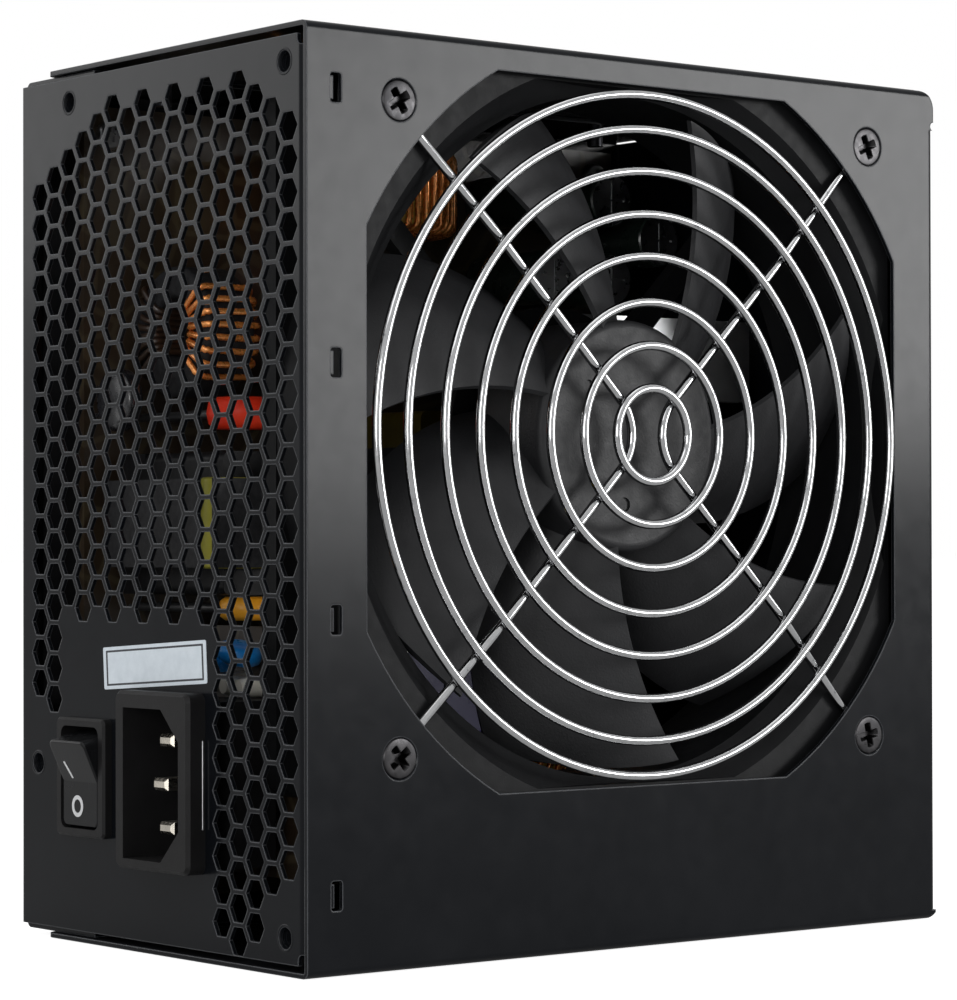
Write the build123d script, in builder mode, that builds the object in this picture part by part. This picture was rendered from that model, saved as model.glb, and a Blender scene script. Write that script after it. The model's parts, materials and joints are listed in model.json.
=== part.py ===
"""Desktop computer power supply unit, 150 x 140 x 86 mm form, standing on its narrow side.

X runs from the mains panel (negative) to the cable panel (positive), Y from the fan face
(negative) to the floor of the tray (positive), and Z is up. The origin is the middle of the
underside of the casing. All sizes are in millimetres.
"""

import os
from math import cos, radians, sin, sqrt, tan

from build123d import *

os.makedirs("parts", exist_ok=True)

# ------------------------------------------------------------------ driving dimensions: casing
case_length = 140.0  # along X
case_depth = 86.0  # along Y, fan face to tray floor
case_height = 150.0  # along Z
sheet = 0.8  # thickness of all folded sheet
bend = 1.2  # outside radius of a fold
lap_gap = 0.1  # between lapped sheets
edge_gap = 0.2  # between a sheet edge and the sheet that it faces
cover_reach = 77.5  # how far the cover's side walls reach back from the fan face
cover_lip = 6.0  # cable-side lip of the cover
flange_depth = 22.0  # side flanges of the tray
front_lip = 4.0  # lip of the mains panel behind the fan face
corner_radius = 2.0

# fan opening and fan
fan_x = 0.7
fan_z = 86.2
fan_opening = 118.0
fan_opening_corner = 67.2  # radius of the opening's corner arcs
fan_screw_pitch = 105.0
fan_size = 120.0
fan_depth = 25.0
fan_corner = 6.0
fan_bore = 58.0  # radius
fan_barrel = 59.9  # outside radius of the barrel
fan_flange = 4.0
flare_radius = 62.8
flare_depth = 4.5
flare_side = 1.2  # wall left at the middle of each side
fan_screw_hole = 2.15
blade_count = 7
blade_tip = 56.5
hub_radius = 19.75
hub_wall = 1.55
hub_face = 2.0  # hub's front face behind the frame's front
hub_depth = 18.0
blade_front = 2.4
blade_chord_depth = 16.3
shaft_radius = 1.5
shaft_fit = 0.03
guard_wire = 1.6
guard_rings = [7.9, 15.1, 22.4, 30.1, 37.2, 44.4, 51.5, 57.4]
guard_bend = 8.2  # where each spoke turns at the middle
guard_shoulder = 44.4  # radius where the spokes start to drop to the frame
guard_seat = 66.0  # radius where the spokes reach the level of the eyelets
guard_rise = 1.6  # the spokes' middle stands this much in front of the eyelets
guard_weld = 0.15  # how far rings and spokes sink into each other
eyelet_radius = 3.6

# mains panel
vent_flats = 4.5
vent_pitch_y = 4.656
vent_pitch_z = 5.28
vent_first_y = 36.5
vent_top_z = 141.6
vent_columns = 17
mount_hole_radius = 1.75  # 6-32 UNC
mount_collar = 1.0
mount_depth = 2.4
mount_holes = [(27.0, 144.0), (-37.0, 144.0), (37.0, 30.0), (-37.0, 6.0)]

# appliance inlet
inlet_y = -3.7
inlet_z = 28.95
inlet_width = 22.0
inlet_height = 29.5
inlet_proud = 3.5
socket_width = 16.5
socket_height = 25.0
socket_z = 28.4
socket_depth = 16.5
socket_chamfer = 5.2
pin_pitch = 7.2
pin_wide = 4.0
pin_thick = 2.0
inlet_wall = 1.2
cutout_gap = 0.15

# rocker switch
switch_y = 21.0
switch_z = 28.3
bezel_width = 15.2
bezel_height = 20.2
bezel_proud = 1.7
switch_body_width = 14.2
switch_body_height = 19.2
switch_depth = 12.0
switch_well_width = 11.8
switch_well_height = 17.4
rocker_width = 11.2
rocker_half_angle = 12.0
rocker_face = 3.5  # from the pivot to each half of the rocking face
rocker_half_height = 7.5
pivot_depth = 2.0
pivot_radius = 1.2
pivot_fit = 0.08

# circuit board and what stands on it
board_front = 34.9  # Y of the component side
board_thickness = 1.6
board_low_x = -62.0
board_high_x = 60.0
board_low_z = 5.0
board_high_z = 145.0
board_hole_inset = 5.0
standoff_radius = 3.0
insulation = 0.4

# cable exit
exit_y = 4.0
exit_z = 50.0
exit_bore = 8.5
exit_wall = 1.5
exit_flange = 3.0

# ------------------------------------------------------------------ derived places
mains_x = -case_length / 2
cable_x = case_length / 2
fan_face_y = -case_depth / 2
floor_y = case_depth / 2
floor_inner = floor_y - sheet
cable_panel_x = cable_x - sheet - lap_gap  # outer face of the tray's cable panel
flange_low = sheet + lap_gap
flange_high = case_height - flange_low
panel_low = flange_low + sheet + edge_gap
panel_high = case_height - panel_low
lip_y = fan_face_y + sheet + lap_gap
fan_front_y = fan_face_y + sheet + guard_wire + lap_gap
fan_back_y = fan_front_y + fan_depth
board_back = board_front + board_thickness
fan_corners = [(sx * fan_screw_pitch / 2, sz * fan_screw_pitch / 2) for sx in (-1, 1) for sz in (-1, 1)]


def facing_fan(y, x=0, z=0):
    """Plane at the given Y that faces the fan: its own x and y run along X and Z."""
    return Plane(origin=(x, y, z), x_dir=(1, 0, 0), z_dir=(0, -1, 0))


fan_face = facing_fan(fan_face_y, fan_x, fan_z)
fan_front = facing_fan(fan_front_y, fan_x, fan_z)
board_face = facing_fan(board_front)
mains_face = Plane.YZ.offset(mains_x)
cable_face = Plane.YZ.offset(cable_panel_x)


def countersunk_screw(head, shank, rise, length, drive):
    """Screw along Z with its flat head at the origin, and a cross recess."""
    with BuildPart() as screw:
        with BuildSketch(Plane.XZ):
            with BuildLine():
                Polyline((0, 0), (head, 0), (shank, -rise), (shank, -length), (0, -length), close=True)
            make_face()
        revolve(axis=Axis.Z)
        with BuildSketch(Plane.XY):
            Rectangle(drive, drive / 4)
            Rectangle(drive / 4, drive)
        extrude(amount=-drive / 4, mode=Mode.SUBTRACT)
    return screw.part


def pan_screw(head, head_height, shank, length, drive):
    """Screw along Z whose round head stands on the origin, and a cross recess."""
    with BuildPart() as screw:
        Cylinder(head, head_height, align=(Align.CENTER, Align.CENTER, Align.MIN))
        fillet(screw.edges().sort_by(Axis.Z)[-1], head_height * 0.45)
        with BuildSketch(Plane.XY.offset(head_height)):
            Rectangle(drive, drive / 4)
            Rectangle(drive / 4, drive)
        extrude(amount=-drive / 4, mode=Mode.SUBTRACT)
        Cylinder(shank, length, align=(Align.CENTER, Align.CENTER, Align.MAX))
    return screw.part


# ------------------------------------------------------------------ tray
def vent_rows(column):
    """First and last row index of a column of vents, in half pitches down from the top row."""
    parity = (column + 1) % 2
    first = max(parity, 5 - column, column - 13)
    if column < 2:
        last = 38
    elif column < 12:
        last = 32
    elif column < 15:
        last = 52
    else:
        last = 48
    if (last - parity) % 2:
        last = last - 1
    return first, last


vents = []
for column in range(vent_columns):
    first_row, last_row = vent_rows(column)
    for row in range(first_row, last_row + 1, 2):
        vents.append((vent_first_y - column * vent_pitch_y, vent_top_z - row * vent_pitch_z / 2))

relief_width = 2.0
relief_length = 1.6
cover_screw_x = 50.0
cover_screw_back = 15.0  # in front of the tray floor's outer face
cover_screw_head = 2.8
cover_screw_radius = 1.5
cover_screw_rise = 0.75
cover_screw_length = 5.0
screw_gap = 0.1
earth_x = 0.0
earth_back = 13.0  # in front of the tray floor's inner face
cover_screw_places = [(sx * cover_screw_x, floor_y - cover_screw_back) for sx in (-1, 1)]
inlet_cutout = (socket_width + 2 * inlet_wall + 2 * cutout_gap, socket_height + 2 * inlet_wall + 2 * cutout_gap)
switch_cutout = (switch_body_width + 2 * cutout_gap, switch_body_height + 2 * cutout_gap)

with BuildPart() as base_tray:
    with BuildSketch(Plane.XY.offset(panel_low)):
        with BuildLine():
            FilletPolyline(
                (mains_x + front_lip, lip_y),
                (mains_x, lip_y),
                (mains_x, floor_y),
                (cable_panel_x, floor_y),
                (cable_panel_x, lip_y + edge_gap),
                radius=bend,
            )
            offset(amount=sheet, side=Side.RIGHT)
        make_face()
    extrude(amount=panel_high - panel_low)
    flange_start = mains_x + sheet + bend / 2
    flange_end = cable_panel_x - sheet - bend / 2
    with BuildSketch(Plane.YZ.offset(flange_start)):
        with BuildLine():
            FilletPolyline(
                (floor_y - flange_depth, flange_low),
                (floor_y, flange_low),
                (floor_y, flange_high),
                (floor_y - flange_depth, flange_high),
                radius=bend,
            )
            offset(amount=sheet, side=Side.LEFT)
        make_face()
    extrude(amount=flange_end - flange_start)
    # relief at both ends of the front lip
    with BuildSketch(mains_face.offset(-1)):
        with Locations((lip_y + bend / 2, panel_low), (lip_y + bend / 2, panel_high)):
            SlotCenterToCenter(relief_length, relief_width, rotation=90)
    extrude(amount=front_lip + 2, mode=Mode.SUBTRACT)
    # collars drawn inward round the mounting holes
    with BuildSketch(mains_face):
        with Locations(*mount_holes):
            Circle(mount_hole_radius + mount_collar)
    extrude(amount=mount_depth)
    with BuildSketch(mains_face.offset(-1)):
        with Locations(*mount_holes):
            Circle(mount_hole_radius)
    extrude(amount=mount_depth + 2, mode=Mode.SUBTRACT)
    # honeycomb, and the cut-outs for the inlet and the switch
    with BuildSketch(mains_face.offset(-1)):
        with Locations(*vents):
            RegularPolygon(radius=vent_flats / 2, side_count=6, major_radius=False)
        with Locations((inlet_y, socket_z)):
            Rectangle(*inlet_cutout)
        with Locations((switch_y, switch_z)):
            Rectangle(*switch_cutout)
    extrude(amount=sheet + 1.5, mode=Mode.SUBTRACT)
    # cable exit
    with BuildSketch(cable_face.offset(1)):
        with Locations((exit_y, exit_z)):
            Circle(exit_bore + exit_wall + cutout_gap)
    extrude(amount=-sheet - 1.5, mode=Mode.SUBTRACT)
    # holes for the cover screws and the earth screw in the side flanges
    with Locations(*[(x, y, z) for x, y in cover_screw_places for z in (flange_low, flange_high)]):
        Cylinder(cover_screw_radius + screw_gap, 4 * sheet, mode=Mode.SUBTRACT)
    with Locations((earth_x, floor_inner - earth_back, flange_high)):
        Cylinder(cover_screw_radius + screw_gap, 4 * sheet, mode=Mode.SUBTRACT)
base_tray.part.label = "base_tray"
export_step(base_tray.part, "parts/base_tray.step")

# ------------------------------------------------------------------ cover
cover_back_y = fan_face_y + cover_reach
lip_low = 1.6
lip_high = 142.8
notch_z = 143.5
notch_radius = 0.75
flap_width = 4.0
flap_radius = 3.5
flap_relief = 3.5
foot_chamfer = 1.1
slot_x = -64.3
slot_width = 2.2
slot_height = 4.7
slot_middle_z = 76.2
slot_offsets = [-63.5, -20.2, 20.2, 63.5]
tab_reach = 2.6
tab_thickness = 0.7
fan_screw_head = 3.4
fan_screw_shank = 2.0
fan_screw_length = 11.0
head_gap = 0.15

with BuildPart() as cover:
    with BuildSketch(mains_face):
        with BuildLine():
            FilletPolyline(
                (cover_back_y, 0),
                (fan_face_y, 0),
                (fan_face_y, case_height),
                (cover_back_y, case_height),
                radius=bend,
            )
            offset(amount=sheet, side=Side.RIGHT)
        make_face()
    extrude(amount=case_length)
    # rounded back corners of the side walls
    wall_corners = cover.edges().filter_by(Axis.Z).filter_by_position(Axis.Y, cover_back_y - 0.1, cover_back_y + 0.1)
    fillet(wall_corners, radius=corner_radius)
    # the fan face is squared off where the lip starts, then the lip is folded down the cable side
    with BuildSketch(Plane.XY.offset(lip_low)):
        with Locations((cable_x, fan_face_y)):
            Rectangle(4 * bend, 4 * bend)
    extrude(amount=lip_high - lip_low, mode=Mode.SUBTRACT)
    with BuildSketch(Plane.XY.offset(lip_low)):
        with BuildLine():
            FilletPolyline(
                (cable_x - 2 * bend, fan_face_y),
                (cable_x, fan_face_y),
                (cable_x, fan_face_y + cover_lip),
                radius=bend,
            )
            offset(amount=sheet, side=Side.LEFT)
        make_face()
    extrude(amount=lip_high - lip_low)
    # the flap above the lip is cut free of the upper wall and its corner is rounded
    with BuildSketch(Plane.YZ.offset(cable_x - flap_width)):
        with Locations((fan_face_y + sheet, case_height + 1)):
            Rectangle(flap_relief, 3 * sheet + 1, align=(Align.MIN, Align.MAX))
    extrude(amount=flap_width + 1, mode=Mode.SUBTRACT)
    with BuildSketch(facing_fan(fan_face_y - 1)):
        with Locations((cable_x, case_height)):
            Rectangle(2 * flap_radius, 2 * flap_radius)
        with Locations((cable_x - flap_radius, case_height - flap_radius)):
            Circle(flap_radius, mode=Mode.SUBTRACT)
        with Locations((cable_x, notch_z)):
            Circle(notch_radius)
        with Locations((cable_x, 0)):
            Rectangle(2 * foot_chamfer / sqrt(2), 2 * foot_chamfer / sqrt(2), rotation=45)
    extrude(amount=-3 - sheet, mode=Mode.SUBTRACT)
    # fan opening: a square whose corners are arcs about the fan's axis
    with BuildSketch(fan_face):
        Rectangle(fan_opening, fan_opening)
        Circle(fan_opening_corner, mode=Mode.INTERSECT)
    extrude(amount=-sheet, mode=Mode.SUBTRACT)
    with Locations(fan_face):
        with Locations(*fan_corners):
            CounterSinkHole(
                radius=fan_screw_shank + 0.5,
                counter_sink_radius=fan_screw_head + head_gap,
                depth=sheet + 0.5,
                counter_sink_angle=90,
            )
    # lanced slots near the mains side, each with its tab bent in
    with BuildSketch(facing_fan(fan_face_y)):
        with Locations(*[(slot_x, slot_middle_z + dz) for dz in slot_offsets]):
            RectangleRounded(slot_width, slot_height, 0.5)
    extrude(amount=-sheet, mode=Mode.SUBTRACT)
    with BuildSketch(facing_fan(fan_face_y + sheet / 4)):
        with Locations(*[(slot_x - slot_width / 2, slot_middle_z + dz) for dz in slot_offsets]):
            Rectangle(tab_thickness, slot_height - 1.0, align=(Align.MIN, Align.CENTER))
    extrude(amount=-tab_reach)
    # screw holes of the side walls
    for z, turn in ((0, 180), (case_height, 0)):
        with Locations(*[Location((x, y, z), (turn, 0, 0)) for x, y in cover_screw_places]):
            CounterSinkHole(
                radius=cover_screw_radius + screw_gap,
                counter_sink_radius=cover_screw_head + screw_gap,
                depth=2 * sheet,
                counter_sink_angle=120,
            )
cover.part.label = "cover"
export_step(cover.part, "parts/cover.step")

with BuildPart() as cover_screws:
    one = countersunk_screw(cover_screw_head, cover_screw_radius, cover_screw_rise, cover_screw_length, 2.6)
    for z, turn in ((0, 180), (case_height, 0)):
        with Locations(*[Location((x, y, z), (turn, 0, 0)) for x, y in cover_screw_places]):
            add(one)
cover_screws.part.label = "cover_screws"
export_step(cover_screws.part, "parts/cover_screws.step")

# ------------------------------------------------------------------ cable exit
exit_flange_thickness = 1.5
exit_ridge = 0.9
with BuildPart() as cable_grommet:
    with BuildSketch(Plane.XZ):
        with BuildLine():
            Polyline(
                (exit_bore, exit_flange_thickness),
                (exit_bore + exit_wall + exit_flange, exit_flange_thickness),
                (exit_bore + exit_wall + exit_flange, 0),
                (exit_bore + exit_wall, 0),
                (exit_bore + exit_wall, -sheet - lap_gap),
                (exit_bore + exit_wall + exit_ridge, -sheet - lap_gap - 0.2),
                (exit_bore + exit_wall, -sheet - 2.6),
                (exit_bore, -sheet - 2.6),
                close=True,
            )
        make_face()
    revolve(axis=Axis.Z)
    rims = cable_grommet.edges().filter_by(GeomType.CIRCLE).group_by(Axis.Z)[-1]
    fillet(rims, radius=0.5)
grommet_place = Plane(origin=(cable_panel_x, exit_y, exit_z), x_dir=(0, 1, 0), z_dir=(1, 0, 0))
cable_grommet.part.locate(grommet_place.location)
cable_grommet.part.label = "cable_grommet"
export_step(cable_grommet.part, "parts/cable_grommet.step")

# ------------------------------------------------------------------ appliance inlet
bezel_edge = 0.6
inlet_body_depth = 15.0
pin_tip = 3.0  # behind the bezel's front
earth_offset = 0.6
earth_longer = 0.8
pin_bevel = 0.5
tab_wide = 4.8
tab_thin = 0.8
inlet_back = mains_x + inlet_body_depth
socket_bottom = mains_x - inlet_proud + socket_depth
filter_board_x = inlet_back + 5.0
filter_board_thickness = 1.6
tab_end = filter_board_x + filter_board_thickness + 0.8
pin_places = [(inlet_y, socket_z - pin_pitch, 0), (inlet_y, socket_z + pin_pitch, 0)]
pin_places.append((inlet_y + earth_offset, socket_z, earth_longer))

with BuildPart() as inlet_body:
    with BuildSketch(mains_face.offset(-inlet_proud)):
        with Locations((inlet_y, inlet_z)):
            RectangleRounded(inlet_width, inlet_height, 1.5)
    extrude(amount=inlet_proud)
    chamfer(inlet_body.faces().sort_by(Axis.X)[0].edges(), length=bezel_edge)
    with BuildSketch(mains_face):
        with Locations((inlet_y, socket_z)):
            Rectangle(socket_width + 2 * inlet_wall, socket_height + 2 * inlet_wall)
    extrude(amount=inlet_body_depth)
    with BuildSketch(mains_face.offset(-inlet_proud)):
        with BuildLine():
            left = inlet_y + socket_width / 2
            right = inlet_y - socket_width / 2
            low = socket_z - socket_height / 2
            high = socket_z + socket_height / 2
            Polyline(
                (left, low),
                (right + socket_chamfer, low),
                (right, low + socket_chamfer),
                (right, high - socket_chamfer),
                (right + socket_chamfer, high),
                (left, high),
                close=True,
            )
        make_face()
    extrude(amount=socket_depth, mode=Mode.SUBTRACT)
    with BuildSketch(Plane.YZ.offset(socket_bottom - 1)):
        with Locations(*[(y, z) for y, z, longer in pin_places]):
            Rectangle(pin_wide, pin_thick)
    extrude(amount=inlet_back - socket_bottom + 2, mode=Mode.SUBTRACT)
inlet_body.part.label = "inlet_body"
export_step(inlet_body.part, "parts/inlet_body.step")

with BuildPart() as inlet_pins:
    for y, z, longer in pin_places:
        tip_x = mains_x - inlet_proud + pin_tip - longer
        with BuildSketch(Plane.YZ.offset(tip_x)):
            with Locations((y, z)):
                Rectangle(pin_wide, pin_thick)
        extrude(amount=inlet_back - tip_x)
        with BuildSketch(Plane.YZ.offset(inlet_back)):
            with Locations((y, z)):
                Rectangle(tab_wide, tab_thin)
        extrude(amount=tab_end - inlet_back)
    tips = inlet_pins.faces().filter_by(Axis.X).group_by(Axis.X)[0] + inlet_pins.faces().filter_by(Axis.X).group_by(Axis.X)[1]
    chamfer(tips.edges(), length=pin_bevel)
inlet_pins.part.label = "inlet_pins"
export_step(inlet_pins.part, "parts/inlet_pins.step")

filter_board_width = 26.0
filter_board_height = 42.0
filter_board_y = -1.0
filter_board_z = 33.0
with BuildPart() as filter_board:
    with BuildSketch(Plane.YZ.offset(filter_board_x)):
        with Locations((filter_board_y, filter_board_z)):
            Rectangle(filter_board_width, filter_board_height)
        with Locations(*[(y, z) for y, z, longer in pin_places]):
            Rectangle(tab_wide + screw_gap, tab_thin + screw_gap, mode=Mode.SUBTRACT)
    extrude(amount=filter_board_thickness)
filter_board.part.label = "filter_board"
export_step(filter_board.part, "parts/filter_board.step")

disc_radius = 4.0
disc_thickness = 3.0
lead_radius = 0.4
filter_board_back = filter_board_x + filter_board_thickness
with BuildPart() as y_capacitors:
    for y in (filter_board_y - 5.5, filter_board_y + 5.5):
        with BuildSketch(Plane.YZ.offset(filter_board_back + 1.0)):
            with Locations((y, filter_board_z + 15.5)):
                Circle(disc_radius)
        extrude(amount=disc_thickness)
    fillet(y_capacitors.edges().filter_by(GeomType.CIRCLE), radius=1.0)
    with BuildSketch(Plane.YZ.offset(filter_board_back)):
        for y in (filter_board_y - 5.5, filter_board_y + 5.5):
            with Locations((y - 2.5, filter_board_z + 15.5), (y + 2.5, filter_board_z + 15.5)):
                Circle(lead_radius)
    extrude(amount=2.0)
y_capacitors.part.label = "y_capacitors"
export_step(y_capacitors.part, "parts/y_capacitors.step")

# ------------------------------------------------------------------ rocker switch
pivot_x = mains_x + pivot_depth
switch_back = mains_x + switch_depth
switch_floor = 1.4
with BuildPart() as switch_frame:
    with BuildSketch(mains_face.offset(-bezel_proud)):
        with Locations((switch_y, switch_z)):
            RectangleRounded(bezel_width, bezel_height, 1.0)
    extrude(amount=bezel_proud)
    chamfer(switch_frame.faces().sort_by(Axis.X)[0].edges(), length=0.4)
    with BuildSketch(mains_face):
        with Locations((switch_y, switch_z)):
            Rectangle(switch_body_width, switch_body_height)
    extrude(amount=switch_depth)
    with BuildSketch(mains_face.offset(-bezel_proud)):
        with Locations((switch_y, switch_z)):
            RectangleRounded(switch_well_width, switch_well_height, 1.5)
    extrude(amount=bezel_proud + switch_depth - switch_floor, mode=Mode.SUBTRACT)
    with Locations(Location((pivot_x, switch_y, switch_z), (90, 0, 0))):
        Cylinder(pivot_radius + pivot_fit, switch_body_width + 1, mode=Mode.SUBTRACT)
    with BuildSketch(Plane.YZ.offset(switch_back)):
        with Locations((switch_y, switch_z - 6.0), (switch_y, switch_z + 6.0)):
            Rectangle(tab_wide, tab_thin)
    extrude(amount=-switch_floor, mode=Mode.SUBTRACT)
switch_frame.part.label = "switch_frame"
export_step(switch_frame.part, "parts/switch_frame.step")

with BuildPart() as switch_terminals:
    with BuildSketch(Plane.YZ.offset(switch_back - switch_floor - 1.0)):
        with Locations((switch_y, switch_z - 6.0), (switch_y, switch_z + 6.0)):
            Rectangle(tab_wide, tab_thin)
    extrude(amount=switch_floor + 1.0 + 8.0)
switch_terminals.part.label = "switch_terminals"
export_step(switch_terminals.part, "parts/switch_terminals.step")

# the rocker is drawn level, then turned to its off position about the pivot
ridge = rocker_face / cos(radians(rocker_half_angle))
rise = rocker_half_height * tan(radians(rocker_half_angle))
rocker_depth = 1.2  # below the pivot
rocker_corner = 1.2
rocker_profile = [
    (0, ridge),
    (rocker_half_height, ridge + rise),
    (rocker_half_height + 0.35, -rocker_depth),
    (3.2, -rocker_depth),
    (0, -rocker_depth - 1.8),
    (-3.2, -rocker_depth),
    (-rocker_half_height - 0.35, -rocker_depth),
    (-rocker_half_height, ridge + rise),
]
rocker_plane = Plane(origin=(0, 0, 0), x_dir=(0, 0, 1), z_dir=(0, -1, 0))
with BuildPart() as rocker:
    with BuildSketch(rocker_plane):
        with BuildLine():
            Polyline(*rocker_profile, close=True)
        make_face()
    extrude(amount=rocker_width / 2, both=True)
    end_edges = rocker.edges().filter_by_position(Axis.Z, -rocker_half_height - 0.4, -rocker_half_height)
    end_edges += rocker.edges().filter_by_position(Axis.Z, rocker_half_height, rocker_half_height + 0.4)
    fillet([edge for edge in end_edges if edge.length < rocker_width - 1], radius=rocker_corner)
    fillet(rocker.faces().filter_by(GeomType.PLANE).group_by(Axis.X)[0].edges(), radius=0.4)
    with Locations(Location((0, 0, 0), (90, 0, 0))):
        Cylinder(pivot_radius, rocker_width + 1.4)
rocker_pose = Location((pivot_x, switch_y, switch_z), (0, -rocker_half_angle, 0))
rocker.part.locate(rocker_pose)
rocker.part.label = "rocker"
export_step(rocker.part, "parts/rocker.step")

wire_radius = 0.9
wire_bend = 4.0
wire_reach = 5.5
terminal_tip = switch_back + 8.0
wire_starts = [(terminal_tip, switch_y, switch_z - 6.0), (terminal_tip, switch_y, switch_z + 6.0)]
wire_starts.append((filter_board_back, filter_board_y + 9.0, 16.0))
wire_starts.append((filter_board_back, filter_board_y + 9.0, 28.4))
with BuildPart() as mains_wires:
    for x, y, z in wire_starts:
        with BuildLine() as wire_path:
            FilletPolyline((x, y, z), (x + wire_reach, y, z), (x + wire_reach, board_front, z), radius=wire_bend)
        with BuildSketch(Plane(origin=(x, y, z), z_dir=(1, 0, 0))):
            Circle(wire_radius)
        sweep(path=wire_path.wires()[0])
mains_wires.part.label = "mains_wires"
export_step(mains_wires.part, "parts/mains_wires.step")

x_capacitor_stand = 1.4
x_capacitor_lead = 0.5
with BuildPart() as x_capacitor:
    with BuildSketch(Plane.YZ.offset(filter_board_back + x_capacitor_stand)):
        with Locations((filter_board_y - 3.5, filter_board_z - 5.0)):
            RectangleRounded(16.0, 24.0, 1.5)
    extrude(amount=9.0)
    fillet(x_capacitor.faces().sort_by(Axis.X)[-1].edges(), radius=0.8)
    with BuildSketch(Plane.YZ.offset(filter_board_back)):
        with Locations((filter_board_y - 9.0, filter_board_z - 15.0), (filter_board_y + 2.0, filter_board_z + 5.0)):
            Circle(x_capacitor_lead)
    extrude(amount=x_capacitor_stand)
x_capacitor.part.label = "x_capacitor"
export_step(x_capacitor.part, "parts/x_capacitor.step")

# ------------------------------------------------------------------ cooling fan
eyelet_y = (fan_face_y + sheet + fan_front_y) / 2
eyelet_middle = fan_screw_pitch / sqrt(2)
with BuildPart() as fan_screws:
    one = countersunk_screw(fan_screw_head, fan_screw_shank, fan_screw_head - fan_screw_shank, fan_screw_length, 3.6)
    with Locations(fan_face):
        with Locations(*fan_corners):
            add(one)
fan_screws.part.label = "fan_screws"
export_step(fan_screws.part, "parts/fan_screws.step")


def guard_point(radius, angle, height):
    """Point of the guard at a radius and angle about the fan's axis, a height in front of the eyelets."""
    return (fan_x + radius * cos(radians(angle)), eyelet_y - height, fan_z + radius * sin(radians(angle)))


with BuildPart() as fan_guard:
    for side in (0, 180):
        with BuildLine() as spoke_path:
            FilletPolyline(
                guard_point(eyelet_middle - eyelet_radius, side + 45, 0),
                guard_point(guard_seat, side + 45, 0),
                guard_point(guard_shoulder, side + 45, guard_rise),
                guard_point(0, 0, guard_rise),
                guard_point(guard_shoulder, side - 45, guard_rise),
                guard_point(guard_seat, side - 45, 0),
                guard_point(eyelet_middle - eyelet_radius, side - 45, 0),
                radius=[20, 60, guard_bend, 60, 20],
            )
        spoke = spoke_path.wires()[0]
        with BuildSketch(Plane(origin=spoke @ 0, z_dir=spoke % 0)):
            Circle(guard_wire / 2)
        sweep(path=spoke)
    for ring in guard_rings:
        slope = guard_rise / (guard_seat - guard_shoulder)
        spoke_height = guard_rise - slope * max(0, ring - guard_shoulder)
        ring_y = eyelet_y - spoke_height - guard_wire + guard_weld
        with Locations(facing_fan(ring_y, fan_x, fan_z)):
            Torus(ring, guard_wire / 2)
    with Locations(facing_fan(eyelet_y, fan_x, fan_z)):
        with Locations(*fan_corners):
            Torus(eyelet_radius, guard_wire / 2)
fan_guard.part.label = "fan_guard"
export_step(fan_guard.part, "parts/fan_guard.step")

motor_disc = 23.0  # radius
motor_disc_thickness = 3.0
strut_width = 4.0
tube_outer = 5.5
tube_inner = 4.0
tube_front_y = fan_back_y - 17.5
tube_floor = 1.5
sleeve_recess = 0.6
boss_radius = 3.2
boss_gap = 0.1
yoke_thickness = 1.2
magnet_thickness = 1.7
stator_gap = 0.5
hub_front_y = fan_front_y + hub_face
hub_inner_y = hub_front_y + hub_wall
hub_back_y = hub_front_y + hub_depth
disc_front_y = fan_back_y - motor_disc_thickness

# the bore opens out towards the corners of the frame, within its flat sides
with BuildPart() as flare:
    with Locations(fan_front.offset(-flare_depth)):
        Cone(fan_bore, flare_radius, flare_depth, align=(Align.CENTER, Align.CENTER, Align.MIN))
    with BuildSketch(fan_front):
        Rectangle(fan_size - 2 * flare_side, fan_size - 2 * flare_side)
    extrude(amount=-flare_depth, mode=Mode.INTERSECT)

with BuildPart() as fan_frame:
    for plane, amount in ((fan_front, -fan_flange), (facing_fan(fan_back_y, fan_x, fan_z), fan_flange)):
        with BuildSketch(plane):
            RectangleRounded(fan_size, fan_size, fan_corner)
        extrude(amount=amount)
    with BuildSketch(fan_front):
        Circle(fan_barrel)
    extrude(amount=-fan_depth)
    with BuildSketch(fan_front):
        Circle(fan_bore)
    extrude(amount=-fan_depth, mode=Mode.SUBTRACT)
    add(flare.part, mode=Mode.SUBTRACT)
    with BuildSketch(fan_front):
        with Locations(*fan_corners):
            Circle(fan_screw_hole)
    extrude(amount=-fan_depth, mode=Mode.SUBTRACT)
    # motor mount on four struts
    with BuildSketch(facing_fan(fan_back_y, fan_x, fan_z)):
        Circle(motor_disc)
        with PolarLocations((motor_disc + fan_barrel) / 2 - 1, 4, start_angle=45):
            Rectangle(fan_barrel - motor_disc + 2, strut_width)
    extrude(amount=motor_disc_thickness)
    with BuildSketch(facing_fan(disc_front_y, fan_x, fan_z)):
        Circle(tube_outer)
    extrude(amount=disc_front_y - tube_front_y)
    with BuildSketch(facing_fan(tube_front_y, fan_x, fan_z)):
        Circle(tube_inner)
    extrude(amount=tube_front_y - fan_back_y + tube_floor, mode=Mode.SUBTRACT)
fan_frame.part.label = "fan_frame"
export_step(fan_frame.part, "parts/fan_frame.step")

# one blade along X, its sections across it; the front of the frame is at height zero
blade_sections = [14, 24, 35, 46, 57.5]
blade_back = blade_front + blade_chord_depth
blade_edge = 0.9
blade_middle = 1.8
blade_bow = 0.08  # of the chord
leading_edge = (10, 0.49, 21.7)  # degrees at a radius, and degrees more per millimetre
trailing_edge = (-31, 0.88, 24)
first_blade = 100


def edge_place(section, edge):
    """Where a swept edge crosses a flat section at the given distance from the axis."""
    angle, rate, radius = edge
    place = section
    for step in range(20):
        turn = radians(angle + rate * (place - radius))
        place = section / cos(turn)
    return section * tan(turn)


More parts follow.
